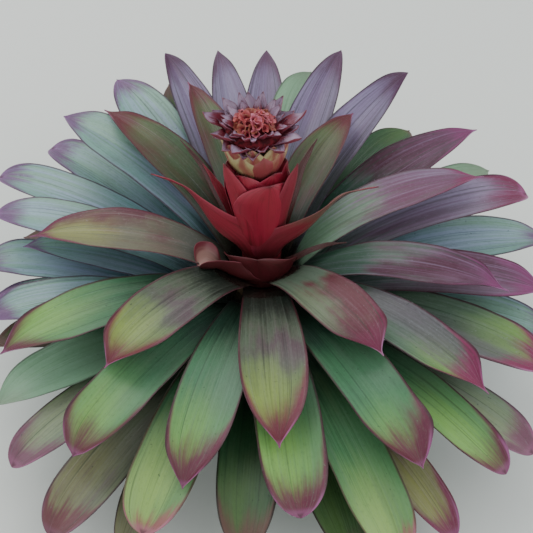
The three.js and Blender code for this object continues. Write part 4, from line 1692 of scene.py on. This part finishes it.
@dataclass
class FlowerHead:
    """The head: a cup of flushed scales, rings of pointed bracts and a cluster of florets.

    The lower and upper scales are given by their bearing and how red they are. Florets stand on the dome
    in a spiral, a floret turn apart, and the outermost lean out by the splay.
    """

    stalk: FlowerStalk
    lower: tuple[tuple[float, float], ...] = (
        (247, 0.25), (208, 0.15), (322, 0.6), (286, 1.0), (0, 0.3),
        (36, 0.6), (72, 0.4), (108, 0.6), (170, 0.4),
    )
    upper: tuple[tuple[float, float], ...] = (
        (268, 0.25), (228, 0.6), (304, 0.3), (188, 0.3), (342, 0.5),
        (20, 0.4), (56, 0.6), (94, 0.3), (136, 0.5),
    )
    bract_plans: tuple[BractPlan, ...] = (
        head_bract(174, -14, 286, 46, 307, 27, 6, -42, dark=0.9),
        head_bract(155, 12, 286, 42, 299, 25, 2, -38),
        head_bract(198, 10, 286, 41, 296, 22, -4, -34, dark=0.9),
        head_bract(220, -8, 288, 36, 301, 20, 10, -36),
        head_bract(244, 10, 286, 44, 296, 26, 0, -38, dark=0.1),
        head_bract(266, 0, 285, 33, 290, 22, -8, -30, dark=1.0),
        head_bract(286, -10, 286, 36, 293, 22, -6, -32, dark=0.8),
        head_bract(307, 14, 286, 46, 295, 29, 2, -40, dark=0.2),
        head_bract(333, -12, 287, 49, 299, 26, 4, -38, dark=0.3),
        head_bract(351, 8, 286, 42, 300, 22, 8, -36, dark=0.9),
        head_bract(6, -6, 288, 49, 309, 28, 14, -42, dark=0.6),
        head_bract(24, 12, 287, 41, 299, 24, 12, -36),
        head_bract(43, -10, 288, 38, 309, 20, 26, -30, dark=0.2),
        head_bract(72, 8, 289, 31, 311, 18, 40, -20, dark=0.1),
        head_bract(97, -8, 287, 38, 304, 25, 20, -30),
        head_bract(114, 0, 289, 31, 311, 15, 44, -16, dark=0.2),
        head_bract(135, 10, 287, 40, 305, 24, 16, -34, dark=0.1),
        heart_bract(270, 0, 293, 31, 302, 10, 26, -40, dark=-0.4, root_radius=14),
        heart_bract(230, 8, 292, 28, 303, 15, 34, -30, dark=0.3),
        heart_bract(311, -8, 292, 29, 303, 16, 30, -30, dark=0.3),
        heart_bract(28, 0, 292, 28, 309, 16, 42, -20, dark=0.1),
        heart_bract(188, 0, 292, 29, 306, 15, 36, -26, dark=0.8),
    )
    scale_core: tuple[tuple[float, float], ...] = ((11, 230.4), (13, 238), (21, 283))
    bract_core: tuple[tuple[float, float], ...] = ((22, 283.4), (27, 286), (26, 291), (20, 295))
    dome: tuple[tuple[float, float], ...] = (
        (15, 295.5), (14.4, 299), (12.6, 301.6), (8.4, 303.4), (2, 304.2),
    )
    sides: int = 32
    bract_faces: tuple[int, int] = (14, 8)
    petal_faces: tuple[int, int] = (7, 5)
    scale_root: float = 13.0
    scale_thickness: float = 1.7
    scale_acute: float = 0.35
    seed_step: float = 3.7
    skirt_count: int = 11
    crown_count: int = 12
    bract_thickness: float = 1.0
    petal_count: int = 5
    petal_jog: float = 9.0
    floret_count: int = 30
    floret_turn: float = 137.5
    floret_distance: float = 13.0
    floret_height: float = 302.4
    floret_drop: float = 6.5
    floret_rim: float = 1.12
    floret_tilt: float = 24.0
    floret_splay: float = 52.0
    floret_seed_step: float = 3.1
    olive_share: float = 0.25
    olive_strength: float = 0.8
    bract_seed: int = 13
    floret_seed: int = 31

    def scales(self) -> bpy.types.Object:
        """Models and dresses the cup of scales.

        Returns:
            The scales as one piece.
        """
        finish = ScaleFinish().waxy()
        lower = [BractPlan(turn, 0, 233, 30, 281, 40, 66, -26, 1.3, green=red) for turn, red in self.lower]
        upper = [BractPlan(turn, 0, 242, 32, 292, 36, 66, -22, 1.3, green=red) for turn, red in self.upper]
        parts = [Bench.turned("scale_core", self.scale_core, self.sides, finish)]
        for number, plan in enumerate(lower + upper):
            blade = plan.blade(self.scale_root, self.seed_step * number, self.scale_thickness)
            blade.acute = self.scale_acute
            parts.append(blade.make(f"scale_{number}", *self.bract_faces, (finish,)))
        return self.stalk.mount(parts, "flushed_scales", "head_scales", "scales")

    def bracts(self) -> bpy.types.Object:
        """Models and dresses the rings of pointed bracts, and the skirt and crown between them.

        Returns:
            The bracts as one piece.
        """
        finish = HeadFinish()
        faces = (finish.inner(), finish.outer())
        draw = Draw(self.bract_seed)
        # The core wears the dark flesh, which reads as painted shade under the bracts.
        parts = [Bench.turned("head_core", self.bract_core, self.sides, FloretFinish().core())]
        plans = list(self.bract_plans)
        for k in range(self.skirt_count):
            turn = 360.0 * (k + draw.spread(0.2, 0.8)) / self.skirt_count
            reach, tip = draw.spread(35.0, 40.0), draw.spread(285.0, 290.0)
            plans.append(head_bract(turn, 0, 284, reach, tip, 22, -6, -30, dark=0.8, root_radius=20))
        for k in range(self.crown_count):
            turn = 360.0 * (k + draw.spread(0.2, 0.8)) / self.crown_count
            reach, tip = draw.spread(26.0, 33.0), draw.spread(300.0, 308.0)
            dark = draw.spread(0.2, 1.0)
            plans.append(heart_bract(turn, 0, 291, reach, tip, 14, 34, -26, dark=dark, root_radius=16))
        for number, plan in enumerate(plans):
            blade = plan.blade(plan.root_radius, draw.spread(0.0, 30.0), self.bract_thickness)
            blade.acute = draw.spread(0.6, 0.9)
            blade.fold = draw.spread(0.2, 0.5)
            blade.curl = draw.spread(0.1, 0.45)
            blade.twist = draw.spread(-0.6, 0.6)
            parts.append(blade.make(f"head_bract_{number}", *self.bract_faces, faces))
        return self.stalk.mount(parts, "pointed_bracts", "head_bracts", "bracts")

    def petal(self, number: int, finish: bpy.types.Material) -> bpy.types.Object:
        """One crumpled petal of a floret, at the origin, opening towards +X.

        Args:
            number: Which petal, for its pattern.
            finish: Its material.

        Returns:
            The petal.
        """
        blade = Blade(
            azimuth=0.0,
            root_radius=0.8,
            root_height=0.0,
            reach=5.2 + 0.6 * (number % 2),
            tip_height=6.6 - 1.0 * (number % 3),
            width=6.6,
            root_pitch=62.0,
            droop=34.0,
            bluntness=0.8,
            wrap_length=0.7,
            thickness=0.5,
            tip_half_width=0.4,
            curl=0.6,
            wave=0.45,
            twist=0.5 if number % 2 else -0.4,
            seed=1.9 * number,
        )
        return blade.make(f"petal_{number}", *self.petal_faces, (finish,))

    def floret(self, finish: bpy.types.Material) -> bpy.types.Object:
        """One floret at the origin, its petals opening upwards.

        Args:
            finish: Its material.

        Returns:
            The floret.
        """
        petals = []
        for number in range(self.petal_count):
            petal = self.petal(number, finish)
            turn = 360.0 / self.petal_count * number + self.petal_jog * (number % 2)
            petal.rotation_euler = (0.0, 0.0, math.radians(turn))
            petals.append(petal)
        for petal in petals:
            Bench.take(petal)
            bpy.ops.object.transform_apply(rotation=True)
        return Bench.join(petals, "floret_pattern")

    def florets(self) -> bpy.types.Object:
        """Models one floret, copies it over the dome and dresses the cluster.

        Returns:
            The florets as one piece.
        """
        finish = FloretFinish()
        # The dome wears the dark flesh, which reads as painted shade between the petals.
        parts = [Bench.turned("floret_dome", self.dome, self.sides, finish.core())]
        pattern = self.floret(finish.petal())
        draw = Draw(self.floret_seed)
        for k in range(self.floret_count):
            share = self.floret_rim * math.sqrt((k + 0.5) / self.floret_count)
            turn = math.radians(self.floret_turn * k)
            copy = pattern.copy()
            copy.data = pattern.data.copy()
            bpy.context.scene.collection.objects.link(copy)
            size = draw.spread(0.75, 1.15)
            copy.scale = (size, size, size)
            copy.rotation_euler = (
                math.radians(draw.spread(-self.floret_tilt, self.floret_tilt)),
                math.radians(self.floret_splay * share + draw.spread(-8.0, 8.0)),
                turn,
            )
            distance = share * self.floret_distance * MILLIMETRE
            height = (self.floret_height - self.floret_drop * share * share) * MILLIMETRE
            copy.location = (distance * math.cos(turn), distance * math.sin(turn), height)
            Bench.take(copy)
            bpy.ops.object.transform_apply(location=True, rotation=True, scale=True)
            warm = draw.next()
            green = self.olive_strength if draw.next() > 1.0 - self.olive_share else 0.0
            for entry in copy.data.attributes[HABIT_LAYER].data:
                entry.vector = (entry.vector.x + self.floret_seed_step * k, warm, green)
            parts.append(copy)
        bpy.data.objects.remove(pattern)
        return self.stalk.mount(parts, "floret_cluster", "head_florets", "florets")

    def build(self) -> list[bpy.types.Object]:
        """Models and dresses the whole head."""
        return [self.scales(), self.bracts(), self.florets()]


@dataclass(frozen=True)
class Lamp:
    """A soft square light: place and side in metres, power in watts, and tint."""

    name: str
    place: tuple[float, float, float]
    side: float
    power: float
    tint: LinearColour

    def hang(self, aim: Vector) -> None:
        """Hangs the light so that it faces a point.

        Args:
            aim: The point, in metres.
        """
        data = bpy.data.lights.new(self.name, "AREA")
        data.shape = "SQUARE"
        data.size = self.side
        data.energy = self.power
        data.color = self.tint
        light = bpy.data.objects.new(self.name, data)
        light.location = self.place
        facing = aim - Vector(self.place)
        light.rotation_euler = facing.to_track_quat("-Z", "Y").to_euler()
        bpy.context.scene.collection.objects.link(light)


@dataclass
class Studio:
    """A pale floor, soft light and a camera that looks down at the plant, sized in metres."""

    floor_size: float = 6.0
    floor_colour: Colour = (226, 228, 222)
    floor_roughness: float = 0.9
    sky_colour: LinearColour = (0.93, 0.97, 1.0)
    sky_strength: float = 0.9
    lamp_aim: tuple[float, float, float] = (0.0, 0.0, 0.12)
    lamps: tuple[Lamp, ...] = (
        Lamp("key_light", (-0.7, 1.0, 1.9), 1.5, 17.5, (1.0, 0.99, 0.97)),
        Lamp("fill_light", (1.1, -1.0, 1.4), 1.6, 6.0, (0.95, 0.98, 1.0)),
        Lamp("left_light", (-1.6, 0.5, 0.7), 1.2, 6.0, (0.9, 0.95, 1.0)),
        Lamp("right_light", (1.6, 0.5, 0.7), 1.2, 6.0, (0.9, 0.95, 1.0)),
    )
    elevation: float = 45.0
    distance: float = 1.45
    target: tuple[float, float, float] = (0.0045, 0.0, 0.113)
    lens: float = 97.9
    sensor: float = 36.0

    def floor(self) -> None:
        """Lays the floor, which isn't part of the plant."""
        Bench.clear()
        bpy.ops.mesh.primitive_plane_add(size=self.floor_size)
        ground = bpy.context.object
        ground.name = "studio_floor"
        ground.data.materials.append(Shader("studio_floor", self.floor_colour).finish(self.floor_roughness))

    def sky(self) -> None:
        """Fills the room with even pale light."""
        world = bpy.data.worlds.new("studio_room")
        world.use_nodes = True
        background = world.node_tree.nodes["Background"]
        background.inputs["Color"].default_value = (*self.sky_colour, 1.0)
        background.inputs["Strength"].default_value = self.sky_strength
        bpy.context.scene.world = world

    def camera(self) -> None:
        """Sets the camera at the angle that the plant is seen from."""
        data = bpy.data.cameras.new("view")
        data.lens = self.lens
        data.sensor_width = self.sensor
        camera = bpy.data.objects.new("view", data)
        tilt = math.radians(self.elevation)
        x, y, z = self.target
        camera.location = (x, y - self.distance * math.cos(tilt), z + self.distance * math.sin(tilt))
        camera.rotation_euler = (math.radians(90.0 - self.elevation), 0.0, 0.0)
        bpy.context.scene.collection.objects.link(camera)
        bpy.context.scene.camera = camera

    def build(self) -> None:
        """Sets up the whole studio."""
        self.floor()
        self.sky()
        for lamp in self.lamps:
            lamp.hang(Vector(self.lamp_aim))
        self.camera()


def main() -> None:
    """Builds the plant from the stem up, then the studio, and reports each piece."""
    logging.basicConfig(level=logging.INFO, format="%(message)s")
    Studio().build()
    stem = Stem()
    stalk = FlowerStalk()
    pieces = [stem.build(), *Rosette(stem).build(), Scape(stalk).build(), *FlowerHead(stalk).build()]
    total = 0
    for piece in pieces:
        triangles = sum(len(polygon.vertices) - 2 for polygon in piece.data.polygons)
        total += triangles
        log.info("%s: %d triangles", piece.name, triangles)
    log.info("%d pieces, %d triangles", len(pieces), total)


if __name__ == "__main__":
    main()
